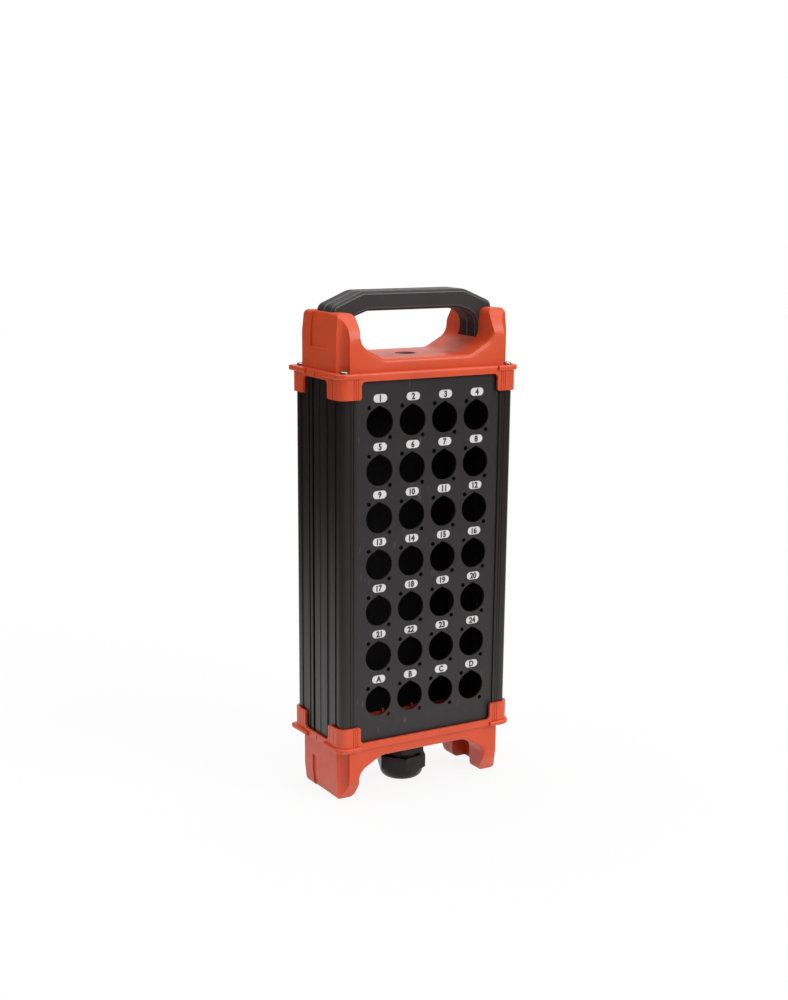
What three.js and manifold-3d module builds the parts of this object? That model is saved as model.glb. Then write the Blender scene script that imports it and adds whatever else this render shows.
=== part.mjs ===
// Stage box housing: two extruded side profiles, a punched front panel and a blank rear panel between two
// moulded end caps, a two-shell carrying handle in the top cap and a cable gland in the bottom cap.
// Millimetres, +Z up. The origin is the middle of the footprint on the ground, and the front panel faces -Y.

import * as THREE from "three";
import { mergeVertices } from "three/addons/utils/BufferGeometryUtils.js";
import Module from "manifold-3d";

const wasm = await Module();
wasm.setup();

// Body between the caps
const VISIBLE_BODY = 293.5; // length of panel seen between the two cap rims
const PROFILE_HALF_WIDTH = 80;
const PROFILE_HALF_DEPTH = 38.2;
const PROFILE_CORNER_RADIUS = 5;
const PROFILE_WALL = 2.6;
const PROFILE_CAVITY_RADIUS = 2;
const LIP_THICKNESS = 1.2; // lip that holds the panel's edge from outside
const LIP_WIDTH = 13.2; // from the profile's side to the lip's free edge
const PANEL_TUCK = 3.6; // panel edge hidden in the profile's slot
const PANEL_THICKNESS = 2;
const PANEL_CLEARANCE = 0.15;
const SLOT_RIB = 2; // rib behind the panel slot
const CHANNEL_WALL = 1.7; // wall round each screw channel

// Grooves along a profile. Place and width are shares of the half depth or half width, and depth is a share
// of the wall.
const sideGrooveShares = [
  [-0.783, 0.11, 0.28],
  [-0.457, 0.15, 0.3],
  [-0.094, 0.042, 0.14],
  [0.371, 0.055, 0.4],
  [0.68, 0.13, 0.24],
];
const lipGrooveShares = [
  [0.866, 0.009, 0.15],
  [0.894, 0.009, 0.15],
];
const SEAM_Y = 7.7; // deep narrow slot beside the middle of the outer face
const SEAM_WIDTH = 3.4;
const SEAM_DEPTH = 4.5;
const SEAM_WALL = 1.3;

// Connector cut-outs in the front panel
const COLUMNS = 4;
const ROWS = 7;
const COLUMN_PITCH = 30;
const ROW_PITCH = 38;
const GRID_DROP = 0.2; // the grid's middle lies this far below the panel's middle
const CUTOUT_RADIUS = 12;
const CUTOUT_PEAK = 13.5; // height of the pointed top over the cut-out's centre
const FIXING_SPREAD_X = 9.5;
const FIXING_SPREAD_Z = 12;
const FIXING_RADIUS = 1.75;

// End cap rim, corner tabs and screw ears. Cap heights start at the rim's outer face and grow away from the
// body.
const CAP_CLEARANCE = 0.3;
const RIM_WALL = 2.1;
const RIM_HEIGHT = 6.2;
const PLATE_THICKNESS = 2.4;
const TAB_LENGTH = 20.2;
const TAB_WIDTH_X = 16.8; // from the profile's side to the tab's free edge
const TAB_WIDTH_Y = 18.4; // from the profile's face to the tab's free edge
const TAB_GAP_RADIUS = 3.6;
const TAB_CORNER_RADIUS = 2; // free corners of a tab
const EAR_THICKNESS = 4;
const EAR_REACH_X = 1.9;
const EAR_REACH_Y = 1.9;
const EAR_RADIUS = 9; // corners at the front
const EAR_REAR_RADIUS = 3;
const EAR_LENGTH_Y = 27.9; // from the ear's outer face to its end on the short side
const SEAT_GAP = 0.15; // left between two faces that rest on each other

// Small ribs inside the cap, behind the foot of each panel
const RIB_PITCH = 30;
const RIB_PLACES = [-1, 0, 1];
const RIB_THICKNESS = 2;
const RIB_HEIGHT = 3;
const RIB_DEPTH = 3.2;

// End cap crown with its two towers, which are the feet on the bottom cap
const CROWN_INSET_X = 1.3; // from the profile's side to the crown's end face
const CROWN_INSET_Y = 1.9; // from the profile's face to the crown's long face
const CROWN_WALL = 3;
const TOWER_HEIGHT = 44.7;
const TOWER_LEAN = 1.8; // how far the end face leans in
const TOWER_LEAN_LENGTH = 17; // from the tower's top down to where it starts to lean
const TOWER_TIP_WIDTH = 15.3;
const TOWER_TIP_RADIUS = 3.5;
const TOWER_INNER_DRAFT = 0.9; // how far the inner face leans
const TOWER_INNER_RADIUS = 5.5;
const TOWER_TAPER = 10.8; // how far each long side leans in
const TOWER_TAPER_LENGTH = 16.5; // from the tower's top down to where the long sides start to lean
const TOWER_SIDE_RADIUS = 20; // where they start
const TOWER_CREST_RADIUS = 2; // where they meet the top
const SWEEP_HEIGHT = 20.6;
const SWEEP_LENGTH = 20.7; // from the tower to the flat deck
const SWEEP_RADIUS = 12;
const DECK_HEIGHT = 9.4;
const DECK_RADIUS = 14;
const DECK_HOLE_RADIUS = 8.5;
const RECESS_HALF_WIDTH = 14; // shallow field on each end face
const RECESS_HEIGHT = 17.4;
const RECESS_DEPTH = 0.9;

// Cap screws, in screwdriver flutes at the four corners
const SCREW_INSET_X = 4.5;
const SCREW_INSET_Y = 3.2;
const FLUTE_SHIFT_X = 2; // from the screw towards the end face
const FLUTE_SHIFT_Y = 0.8; // from the screw towards the middle
const FLUTE_RADIUS = 6.5;
const SCREW_CLEARANCE = 0.3;
const capScrew = { headRadius: 3.7, headHeight: 2.2, shankRadius: 1.5, length: 16 };

// Handle and its pocket in each tower
const HANDLE_HALF_DEPTH = 13.4;
const HANDLE_BEVEL = 2.2;
const HANDLE_WALL = 2.8;
const HANDLE_PARTING = 0.4; // gap between the two shells
const HANDLE_RISE = 15.1; // from the towers' tops to the grip's top
const HANDLE_KNEE_LENGTH = 26.9; // from the handle's end to the knee
const HANDLE_KNEE_RADIUS = 16;
const HANDLE_END_INSET = 4.7; // from the crown's end face to the handle's end
const HANDLE_END_DROP = 11; // from the grip's top to the end's shoulder
const HANDLE_END_RADIUS = 6.5;
const GRIP_THICKNESS = 15.2;
const GRIP_SLOPE_LENGTH = 17; // from the leg to the grip's straight underside
const GRIP_RADIUS = 10;
const LEG_WIDTH = 15;
const LEG_SHOULDER_DROP = 5.8; // from the grip's underside to the leg's shoulder
const LEG_SHOULDER_RADIUS = 12;
const POCKET_FLOOR_HEIGHT = 13;
const POCKET_CLEARANCE = 0.3;
const POCKET_WALL = 2.6;
const handleScrew = { headRadius: 3.4, headHeight: 2.4, shankRadius: 1.8, length: 12 };

// Cable gland in the bottom cap
const THREAD_RADIUS = 15.8;
const THREAD_CLEARANCE = 0.4;
const THREAD_INSIDE = 13; // thread that stands up inside the cap, from the deck's outer face
const BORE_RADIUS = 12.5;
const WASHER_THICKNESS = 1.8;
const WASHER_RADIUS = 20.5;
const BODY_HEX_FLATS = 37; // across the flats
const BODY_HEX_HEIGHT = 9;
const SLEEVE_RADIUS = 16.4;
const SLEEVE_BORE_RADIUS = 15;
const SLEEVE_LENGTH = 16.2;
const SLEEVE_BORE_LENGTH = 15;
const SLIT_COUNT = 8;
const SLIT_WIDTH = 1.6;
const SLIT_LENGTH = 9;
const LOCK_NUT_FLATS = 39;
const LOCK_NUT_HEIGHT = 6;
const DOME_NUT_FLATS = 38;
const DOME_NUT_HEIGHT = 20.8;
const DOME_NUT_GAP = 3.1; // from the loose nut to the body's hexagon
const DOME_NUT_FLOOR = 4;
const DOME_NUT_MOUTH_RADIUS = 11.5;
const DOME_NUT_CHAMFER = 1.2;
const DOME_BASE_RADIUS = 12.6; // flat ring round the mouth
const DOME_RADIUS = 18.6; // where the dome meets the hexagon
const DOME_HEIGHT = 8;
const DOME_SHOULDER_HEIGHT = 1.8; // height of the slanted shoulder over the dome
const DOME_STEPS = 4;
const DOME_NUT_TURN = -1.949; // radians from +X to one corner
const SEAL_OUTER_RADIUS = 14.6;
const SEAL_BORE_RADIUS = 9.5;
const SEAL_LENGTH = 14.5;

const OVERRUN = 1; // how far a cutting shape passes the face that it cuts
const ARC_STEP = Math.PI / 9; // largest turn of one facet on a rounded corner
const ROUND_FACETS = 32;
const CUTOUT_FACETS = 20;
const SCREW_FACETS = 10;
const HEX_SIDES = 6;
const FULL_TURN = 2 * Math.PI;
const BOTH_SIDES = [-1, 1];

// Screw outlines, as shares of the head's height and radius
const HEAD_EDGE_SHARE = 0.45;
const HEAD_TOP_SHARE = 0.6;
const TIP_SHARE = 0.5;

// Heights and places that follow from the sizes above
const BOTTOM_FACE_Z = TOWER_HEIGHT;
const TOP_FACE_Z = TOWER_HEIGHT + 2 * RIM_HEIGHT + VISIBLE_BODY;
const MIDDLE_Z = (BOTTOM_FACE_Z + TOP_FACE_Z) / 2;
const BODY_LOW_Z = BOTTOM_FACE_Z + PLATE_THICKNESS + SEAT_GAP;
const BODY_HIGH_Z = TOP_FACE_Z - PLATE_THICKNESS - SEAT_GAP;
const PANEL_FRONT = PROFILE_HALF_DEPTH - LIP_THICKNESS;
const PANEL_BACK = PANEL_FRONT - PANEL_THICKNESS;
const CAVITY_HALF_DEPTH = PANEL_BACK - PANEL_CLEARANCE - SLOT_RIB;
const LIP_INNER_X = PROFILE_HALF_WIDTH - LIP_WIDTH;
const CAVITY_X = PROFILE_HALF_WIDTH - PROFILE_WALL;
const ROOM_HALF_WIDTH = PROFILE_HALF_WIDTH + CAP_CLEARANCE;
const ROOM_HALF_DEPTH = PROFILE_HALF_DEPTH + CAP_CLEARANCE;
const ROOM_RADIUS = PROFILE_CORNER_RADIUS + CAP_CLEARANCE;
const RIM_HALF_WIDTH = ROOM_HALF_WIDTH + RIM_WALL;
const RIM_HALF_DEPTH = ROOM_HALF_DEPTH + RIM_WALL;
const TAB_INNER_X = PROFILE_HALF_WIDTH - TAB_WIDTH_X;
const TAB_INNER_Y = PROFILE_HALF_DEPTH - TAB_WIDTH_Y;
const EAR_HALF_WIDTH = RIM_HALF_WIDTH + EAR_REACH_X;
const EAR_HALF_DEPTH = RIM_HALF_DEPTH + EAR_REACH_Y;
const EAR_INNER_Y = EAR_HALF_DEPTH - EAR_LENGTH_Y;
const CROWN_HALF_WIDTH = PROFILE_HALF_WIDTH - CROWN_INSET_X;
const CROWN_HALF_DEPTH = PROFILE_HALF_DEPTH - CROWN_INSET_Y;
const TOWER_LEAN_HEIGHT = TOWER_HEIGHT - TOWER_LEAN_LENGTH;
const TOWER_TIP_X = CROWN_HALF_WIDTH - TOWER_LEAN;
const TOWER_INNER_X = TOWER_TIP_X - TOWER_TIP_WIDTH;
const TOWER_TIP_HALF_DEPTH = CROWN_HALF_DEPTH - TOWER_TAPER;
const TOWER_TAPER_HEIGHT = TOWER_HEIGHT - TOWER_TAPER_LENGTH;
const SWEEP_X = TOWER_INNER_X - TOWER_INNER_DRAFT;
const DECK_HALF_LENGTH = SWEEP_X - SWEEP_LENGTH;
const SCREW_X = PROFILE_HALF_WIDTH - SCREW_INSET_X;
const SCREW_Y = PROFILE_HALF_DEPTH - SCREW_INSET_Y;
const SCREW_HOLE_RADIUS = capScrew.shankRadius + SCREW_CLEARANCE;
const FLUTE_X = SCREW_X + FLUTE_SHIFT_X;
const FLUTE_Y = SCREW_Y - FLUTE_SHIFT_Y;
const HANDLE_TOP_HEIGHT = TOWER_HEIGHT + HANDLE_RISE;
const HANDLE_END_HEIGHT = HANDLE_TOP_HEIGHT - HANDLE_END_DROP;
const HANDLE_END_X = CROWN_HALF_WIDTH - HANDLE_END_INSET;
const HANDLE_KNEE_X = HANDLE_END_X - HANDLE_KNEE_LENGTH;
const GRIP_UNDERSIDE_HEIGHT = HANDLE_TOP_HEIGHT - GRIP_THICKNESS;
const LEG_INNER_X = HANDLE_END_X - LEG_WIDTH;
const GRIP_HALF_LENGTH = LEG_INNER_X - GRIP_SLOPE_LENGTH;
const LEG_SHOULDER_HEIGHT = GRIP_UNDERSIDE_HEIGHT - LEG_SHOULDER_DROP;
const LEG_SCREW_X = (LEG_INNER_X + HANDLE_END_X) / 2;
const LEG_SCREW_Y = HANDLE_HALF_DEPTH / 2;
const LEG_SCREW_HOLE_RADIUS = handleScrew.shankRadius + SCREW_CLEARANCE;
const LEG_SCREW_HEIGHT = POCKET_FLOOR_HEIGHT - POCKET_WALL - SEAT_GAP;
const LEG_LOW_HEIGHT = POCKET_FLOOR_HEIGHT + SEAT_GAP;
const DECK_OUTER_Z = BOTTOM_FACE_Z - DECK_HEIGHT;
const DECK_INNER_Z = DECK_OUTER_Z + CROWN_WALL;
const WASHER_HIGH_Z = DECK_OUTER_Z - SEAT_GAP;
const WASHER_LOW_Z = WASHER_HIGH_Z - WASHER_THICKNESS;
const BODY_HEX_HIGH_Z = WASHER_LOW_Z - SEAT_GAP;
const BODY_HEX_LOW_Z = BODY_HEX_HIGH_Z - BODY_HEX_HEIGHT;
const THREAD_HIGH_Z = DECK_OUTER_Z + THREAD_INSIDE;
const SLEEVE_LOW_Z = BODY_HEX_LOW_Z - SLEEVE_LENGTH;
const DOME_NUT_HIGH_Z = BODY_HEX_LOW_Z - DOME_NUT_GAP;
const DOME_NUT_LOW_Z = DOME_NUT_HIGH_Z - DOME_NUT_HEIGHT;
const NUT_FLOOR_Z = DOME_NUT_LOW_Z + DOME_NUT_FLOOR;

// Materials
function finish(color, roughness, metalness) {
  return new THREE.MeshStandardMaterial({ color, roughness, metalness });
}

const ORANGE_PLASTIC = finish(0xd6532f, 0.42, 0);
const BLACK_PROFILE = finish(0x2e2d2e, 0.45, 0.6);
const BLACK_PANEL = finish(0x3a393a, 0.5, 0.3);
const BLACK_PLASTIC = finish(0x232223, 0.5, 0);
const BLACK_RUBBER = finish(0x151515, 0.8, 0);
const STEEL = finish(0xb9babc, 0.3, 1);

// Outlines. A corner is [x, y, radius], and corners run counterclockwise round the solid.
function directions(corners, i) {
  const count = corners.length;
  const before = corners[(i + count - 1) % count];
  const corner = corners[i];
  const after = corners[(i + 1) % count];
  const arriving = new THREE.Vector2(corner[0] - before[0], corner[1] - before[1]).normalize();
  const leaving = new THREE.Vector2(after[0] - corner[0], after[1] - corner[1]).normalize();
  return { arriving, leaving, turn: Math.atan2(arriving.cross(leaving), arriving.dot(leaving)) };
}

function outline(corners) {
  return corners.flatMap((corner, i) => {
    const { arriving, turn } = directions(corners, i);
    const at = new THREE.Vector2(corner[0], corner[1]);
    const radius = corner[2] ?? 0;
    if (radius <= 0) return [at];
    const side = Math.sign(turn);
    const toCentre = new THREE.Vector2(-arriving.y, arriving.x).multiplyScalar(side * radius);
    const centre = at.addScaledVector(arriving, -radius * Math.tan(Math.abs(turn) / 2)).add(toCentre);
    const start = Math.atan2(-toCentre.y, -toCentre.x);
    const steps = Math.ceil(Math.abs(turn) / ARC_STEP);
    return Array.from({ length: steps + 1 }, (_, k) =>
      onCircle(centre.x, centre.y, radius, start + (turn * k) / steps),
    );
  });
}

function onCircle(x, y, radius, angle) {
  return new THREE.Vector2(x + radius * Math.cos(angle), y + radius * Math.sin(angle));
}

// The same corners moved into the solid by a distance, each fillet with the radius that follows.
function inset(corners, distance) {
  return corners.map((corner, i) => {
    const { arriving, leaving, turn } = directions(corners, i);
    const scale = distance / (1 + arriving.dot(leaving));
    const radius = corner[2] ? Math.max(0, corner[2] - Math.sign(turn) * distance) : 0;
    return [
      corner[0] - (arriving.y + leaving.y) * scale,
      corner[1] + (arriving.x + leaving.x) * scale,
      radius,
    ];
  });
}

function rectangle(halfWidth, halfDepth, radius = 0) {
  return [
    [-halfWidth, -halfDepth, radius],
    [halfWidth, -halfDepth, radius],
    [halfWidth, halfDepth, radius],
    [-halfWidth, halfDepth, radius],
  ];
}

function mirrored(rightHalf) {
  const leftHalf = rightHalf.map(([x, y, radius]) => [-x, y, radius]).reverse();
  return [...rightHalf, ...leftHalf];
}

// Solids
function solid(geometry) {
  geometry.deleteAttribute("normal");
  geometry.deleteAttribute("uv");
  const merged = mergeVertices(geometry);
  return new wasm.Manifold(
    new wasm.Mesh({
      numProp: 3,
      vertProperties: merged.attributes.position.array,
      triVerts: new Uint32Array(merged.index.array),
    }),
  );
}

function extruded(points, depth, holes = [], bevel = 0) {
  const shape = new THREE.Shape(points);
  shape.holes = holes.map((hole) => new THREE.Path(hole));
  return new THREE.ExtrudeGeometry(shape, {
    depth,
    bevelEnabled: bevel > 0,
    bevelThickness: bevel,
    bevelSize: bevel,
    bevelOffset: -bevel,
    bevelSegments: 2,
  });
}

function alongZ(points, [from, to]) {
  return solid(extruded(points, to - from).translate(0, 0, from));
}

function alongY(points, [from, to], holes = [], bevel = 0) {
  const geometry = extruded(points, to - from - 2 * bevel, holes, bevel);
  return solid(geometry.rotateX(Math.PI / 2).translate(0, to - bevel, 0));
}

function alongX(points, [from, to]) {
  const turn = new THREE.Matrix4().makeBasis(
    new THREE.Vector3(0, 1, 0),
    new THREE.Vector3(0, 0, 1),
    new THREE.Vector3(1, 0, 0),
  );
  return solid(extruded(points, to - from).applyMatrix4(turn).translate(from, 0, 0));
}

function block(x, y, z) {
  const geometry = new THREE.BoxGeometry(x[1] - x[0], y[1] - y[0], z[1] - z[0]);
  return solid(geometry.translate((x[0] + x[1]) / 2, (y[0] + y[1]) / 2, (z[0] + z[1]) / 2));
}

function post(x, y, radius, [from, to], sides = ROUND_FACETS) {
  const geometry = new THREE.CylinderGeometry(radius, radius, to - from, sides);
  return solid(geometry.rotateX(Math.PI / 2).translate(x, y, (from + to) / 2));
}

function turned(profile, sides = ROUND_FACETS) {
  const points = profile.map(([radius, z]) => new THREE.Vector2(radius, z));
  return solid(new THREE.LatheGeometry(points, sides).rotateX(Math.PI / 2));
}

function hexPrism(acrossFlats, turn, span) {
  const radius = acrossFlats / 2 / Math.cos(Math.PI / HEX_SIDES);
  const points = Array.from({ length: HEX_SIDES }, (_, i) =>
    onCircle(0, 0, radius, turn + (FULL_TURN * i) / HEX_SIDES),
  );
  return alongZ(points, span);
}

function joined(solids) {
  return solids.reduce((all, next) => all.add(next));
}

function onSide(side, near, far) {
  return side > 0 ? [near, far] : [-far, -near];
}

function beyond([from, to]) {
  return [from - OVERRUN, to + OVERRUN];
}

function atCorners(make) {
  return joined(BOTH_SIDES.flatMap((sideX) => BOTH_SIDES.map((sideY) => make(sideX, sideY))));
}

function piece(name, body, material) {
  const { numProp, numVert, vertProperties, triVerts } = body.getMesh();
  const positions = new Float32Array(numVert * 3);
  for (let i = 0; i < numVert; i++) {
    positions.set(vertProperties.subarray(i * numProp, i * numProp + 3), i * 3);
  }
  const indexed = new THREE.BufferGeometry();
  indexed.setAttribute("position", new THREE.BufferAttribute(positions, 3));
  indexed.setIndex(new THREE.BufferAttribute(triVerts, 1));
  const geometry = indexed.toNonIndexed();
  geometry.computeVertexNormals();
  const mesh = new THREE.Mesh(geometry, material);
  mesh.name = name;
  return mesh;
}

// Side profiles, drawn for the right side
function sideGroove([placeShare, widthShare, depthShare]) {
  const place = placeShare * PROFILE_HALF_DEPTH;
  const halfWidth = (widthShare * PROFILE_HALF_DEPTH) / 2;
  const reach = [PROFILE_HALF_WIDTH - depthShare * PROFILE_WALL, PROFILE_HALF_WIDTH + OVERRUN];
  return block(reach, [place - halfWidth, place + halfWidth], beyond([BODY_LOW_Z, BODY_HIGH_Z]));
}

function lipGroove([placeShare, widthShare, depthShare], side) {
  const place = placeShare * PROFILE_HALF_WIDTH;
  const halfWidth = (widthShare * PROFILE_HALF_WIDTH) / 2;
  const reach = onSide(side, PROFILE_HALF_DEPTH - depthShare * PROFILE_WALL, PROFILE_HALF_DEPTH + OVERRUN);
  return block([place - halfWidth, place + halfWidth], reach, beyond([BODY_LOW_Z, BODY_HIGH_Z]));
}

function profileBody() {
  const span = [BODY_LOW_Z, BODY_HIGH_Z];
  const envelope = outline([
    [LIP_INNER_X, -PROFILE_HALF_DEPTH],
    [PROFILE_HALF_WIDTH, -PROFILE_HALF_DEPTH, PROFILE_CORNER_RADIUS],
    [PROFILE_HALF_WIDTH, PROFILE_HALF_DEPTH, PROFILE_CORNER_RADIUS],
    [LIP_INNER_X, PROFILE_HALF_DEPTH],
  ]);
  const cavity = outline([
    [LIP_INNER_X - OVERRUN, -CAVITY_HALF_DEPTH],
    [CAVITY_X, -CAVITY_HALF_DEPTH, PROFILE_CAVITY_RADIUS],
    [CAVITY_X, CAVITY_HALF_DEPTH, PROFILE_CAVITY_RADIUS],
    [LIP_INNER_X - OVERRUN, CAVITY_HALF_DEPTH],
  ]);
  const channel = (radius) =>
    joined(BOTH_SIDES.map((side) => post(SCREW_X, side * SCREW_Y, radius, beyond(span), SCREW_FACETS)));
  const seam = (wall) =>
    block(
      [PROFILE_HALF_WIDTH - SEAM_DEPTH - wall, PROFILE_HALF_WIDTH + OVERRUN],
      [SEAM_Y - SEAM_WIDTH / 2 - wall, SEAM_Y + SEAM_WIDTH / 2 + wall],
      beyond(beyond(span)),
    );
  const slot = (side) =>
    block(
      [LIP_INNER_X - OVERRUN, LIP_INNER_X + PANEL_TUCK + PANEL_CLEARANCE],
      onSide(side, PANEL_BACK - PANEL_CLEARANCE, PANEL_FRONT + PANEL_CLEARANCE),
      beyond(span),
    );
  const room = alongZ(cavity, beyond(span))
    .subtract(channel(SCREW_HOLE_RADIUS + CHANNEL_WALL))
    .subtract(seam(SEAM_WALL));
  return alongZ(envelope, span)
    .subtract(room)
    .subtract(channel(SCREW_HOLE_RADIUS))
    .subtract(seam(0))
    .subtract(joined(BOTH_SIDES.map(slot)))
    .subtract(joined(sideGrooveShares.map(sideGroove)))
    .subtract(joined(BOTH_SIDES.flatMap((side) => lipGrooveShares.map((share) => lipGroove(share, side)))));
}

function sideProfile(name, side) {
  const mesh = piece(name, profileBody(), BLACK_PROFILE);
  mesh.scale.x = side;
  return mesh;
}

// Panels
function cutout(x, z) {
  const shoulder = Math.acos(CUTOUT_RADIUS / CUTOUT_PEAK);
  const sweep = FULL_TURN - 2 * shoulder;
  const arc = Array.from({ length: CUTOUT_FACETS }, (_, i) =>
    onCircle(x, z, CUTOUT_RADIUS, Math.PI / 2 + shoulder + (sweep * i) / (CUTOUT_FACETS - 1)),
  );
  return [new THREE.Vector2(x, z + CUTOUT_PEAK), ...arc];
}

function fixingHole(x, z) {
  return Array.from({ length: SCREW_FACETS }, (_, i) =>
    onCircle(x, z, FIXING_RADIUS, (FULL_TURN * i) / SCREW_FACETS),
  );
}

function connectorHoles() {
  const holes = [];
  for (let column = 0; column < COLUMNS; column++) {
    for (let row = 0; row < ROWS; row++) {
      const x = (column - (COLUMNS - 1) / 2) * COLUMN_PITCH;
      const z = MIDDLE_Z - GRID_DROP + (row - (ROWS - 1) / 2) * ROW_PITCH;
      holes.push(cutout(x, z));
      holes.push(fixingHole(x - FIXING_SPREAD_X, z + FIXING_SPREAD_Z));
      holes.push(fixingHole(x + FIXING_SPREAD_X, z - FIXING_SPREAD_Z));
    }
  }
  return holes;
}

function panel(name, side, holes) {
  const halfWidth = LIP_INNER_X + PANEL_TUCK;
  const corners = [
    [-halfWidth, BODY_LOW_Z],
    [halfWidth, BODY_LOW_Z],
    [halfWidth, BODY_HIGH_Z],
    [-halfWidth, BODY_HIGH_Z],
  ];
  return piece(name, alongY(outline(corners), onSide(side, PANEL_BACK, PANEL_FRONT), holes), BLACK_PANEL);
}

// End caps, drawn with the crown upwards and the rim's outer face at height zero
function crownProfile(base) {
  return mirrored([
    [CROWN_HALF_WIDTH, base],
    [CROWN_HALF_WIDTH, TOWER_LEAN_HEIGHT],
    [TOWER_TIP_X, TOWER_HEIGHT, TOWER_TIP_RADIUS],
    [TOWER_INNER_X, TOWER_HEIGHT, TOWER_INNER_RADIUS],
    [SWEEP_X, SWEEP_HEIGHT, SWEEP_RADIUS],
    [DECK_HALF_LENGTH, DECK_HEIGHT, DECK_RADIUS],
  ]);
}

function crownSection(base) {
  return [
    [-CROWN_HALF_DEPTH, base],
    [CROWN_HALF_DEPTH, base],
    [CROWN_HALF_DEPTH, TOWER_TAPER_HEIGHT, TOWER_SIDE_RADIUS],
    [TOWER_TIP_HALF_DEPTH, TOWER_HEIGHT, TOWER_CREST_RADIUS],
    [-TOWER_TIP_HALF_DEPTH, TOWER_HEIGHT, TOWER_CREST_RADIUS],
    [-CROWN_HALF_DEPTH, TOWER_TAPER_HEIGHT, TOWER_SIDE_RADIUS],
  ];
}

function crown(wall, base) {
  const lengthwise = alongY(outline(inset(crownProfile(base), wall)), [-CROWN_HALF_DEPTH, CROWN_HALF_DEPTH]);
  const across = alongX(outline(inset(crownSection(base), wall)), [-CROWN_HALF_WIDTH, CROWN_HALF_WIDTH]);
  const flutes = atCorners((sideX, sideY) =>
    post(sideX * FLUTE_X, sideY * FLUTE_Y, FLUTE_RADIUS + wall, [wall ? base : 0, TOWER_HEIGHT + OVERRUN]),
  );
  return lengthwise.intersect(across).subtract(flutes);
}

function rim() {
  const outerCorners = rectangle(RIM_HALF_WIDTH, RIM_HALF_DEPTH, ROOM_RADIUS + RIM_WALL);
  const outer = alongZ(outline(outerCorners), [-TAB_LENGTH, 0]);
  const room = alongZ(outline(rectangle(ROOM_HALF_WIDTH, ROOM_HALF_DEPTH, ROOM_RADIUS)), [
    -TAB_LENGTH - OVERRUN,
    -PLATE_THICKNESS,
  ]);
  const gap = (half) =>
    outline([
      [-half - 2 * TAB_CORNER_RADIUS, -TAB_LENGTH - OVERRUN],
      [half + 2 * TAB_CORNER_RADIUS, -TAB_LENGTH - OVERRUN],
      [half + 2 * TAB_CORNER_RADIUS, -TAB_LENGTH],
      [half, -TAB_LENGTH, TAB_CORNER_RADIUS],
      [half, -RIM_HEIGHT, TAB_GAP_RADIUS],
      [-half, -RIM_HEIGHT, TAB_GAP_RADIUS],
      [-half, -TAB_LENGTH, TAB_CORNER_RADIUS],
      [-half - 2 * TAB_CORNER_RADIUS, -TAB_LENGTH],
    ]);
  const wide = beyond([-EAR_HALF_WIDTH, EAR_HALF_WIDTH]);
  const deep = beyond([-EAR_HALF_DEPTH, EAR_HALF_DEPTH]);
  const thick = [-EAR_THICKNESS, 0];
  const earCorners = [
    [-EAR_HALF_WIDTH, -EAR_HALF_DEPTH, EAR_RADIUS],
    [EAR_HALF_WIDTH, -EAR_HALF_DEPTH, EAR_RADIUS],
    [EAR_HALF_WIDTH, EAR_HALF_DEPTH, EAR_REAR_RADIUS],
    [-EAR_HALF_WIDTH, EAR_HALF_DEPTH, EAR_REAR_RADIUS],
  ];
  const ears = alongZ(outline(earCorners), thick)
    .subtract(block([-TAB_INNER_X, TAB_INNER_X], deep, beyond(thick)))
    .subtract(block(wide, [-EAR_INNER_Y, EAR_INNER_Y], beyond(thick)));
  return outer
    .subtract(alongY(gap(TAB_INNER_X), deep))
    .subtract(alongX(gap(TAB_INNER_Y), wide))
    .add(ears)
    .subtract(room);
}

function handlePocket(side, wall) {
  const halfDepth = HANDLE_HALF_DEPTH + POCKET_CLEARANCE + wall;
  return block(
    onSide(side, LEG_INNER_X - POCKET_CLEARANCE - wall, HANDLE_END_X + POCKET_CLEARANCE + wall),
    [-halfDepth, halfDepth],
    [POCKET_FLOOR_HEIGHT - wall, TOWER_HEIGHT + OVERRUN],
  );
}

function endRecess(side) {
  const field = block(
    onSide(side, HANDLE_END_X + POCKET_CLEARANCE, CROWN_HALF_WIDTH + OVERRUN),
    [-RECESS_HALF_WIDTH, RECESS_HALF_WIDTH],
    [RECESS_HEIGHT, TOWER_HEIGHT + OVERRUN],
  );
  const behind = alongY(outline(inset(crownProfile(0), RECESS_DEPTH)), [-CROWN_HALF_DEPTH, CROWN_HALF_DEPTH]);
  return field.subtract(behind.translate(0, 0, RECESS_DEPTH));
}

function panelRibs() {
  const highest = PANEL_BACK - 2 * PANEL_CLEARANCE;
  return joined(
    BOTH_SIDES.flatMap((side) =>
      RIB_PLACES.map((place) =>
        block(
          [place * RIB_PITCH - RIB_THICKNESS / 2, place * RIB_PITCH + RIB_THICKNESS / 2],
          onSide(side, highest - RIB_DEPTH, highest),
          [-PLATE_THICKNESS - RIB_HEIGHT, 0],
        ),
      ),
    ),
  );
}

function capBody(deckHoleRadius, legScrewHoles) {
  const outer = crown(0, -PLATE_THICKNESS);
  const hollow = crown(CROWN_WALL, -PLATE_THICKNESS - CROWN_WALL - OVERRUN);
  const pocketWalls = joined(BOTH_SIDES.map((side) => handlePocket(side, POCKET_WALL))).intersect(outer);
  const screwHoles = atCorners((sideX, sideY) =>
    post(sideX * SCREW_X, sideY * SCREW_Y, SCREW_HOLE_RADIUS, beyond([-PLATE_THICKNESS, 0]), SCREW_FACETS),
  );
  const shell = rim()
    .add(outer)
    .subtract(hollow)
    .add(pocketWalls)
    .add(panelRibs())
    .subtract(joined(BOTH_SIDES.map((side) => handlePocket(side, 0))))
    .subtract(joined(BOTH_SIDES.map(endRecess)))
    .subtract(screwHoles)
    .subtract(post(0, 0, deckHoleRadius, beyond([0, DECK_HEIGHT])));
  return legScrewHoles ? shell.subtract(legScrewHoles) : shell;
}

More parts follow.
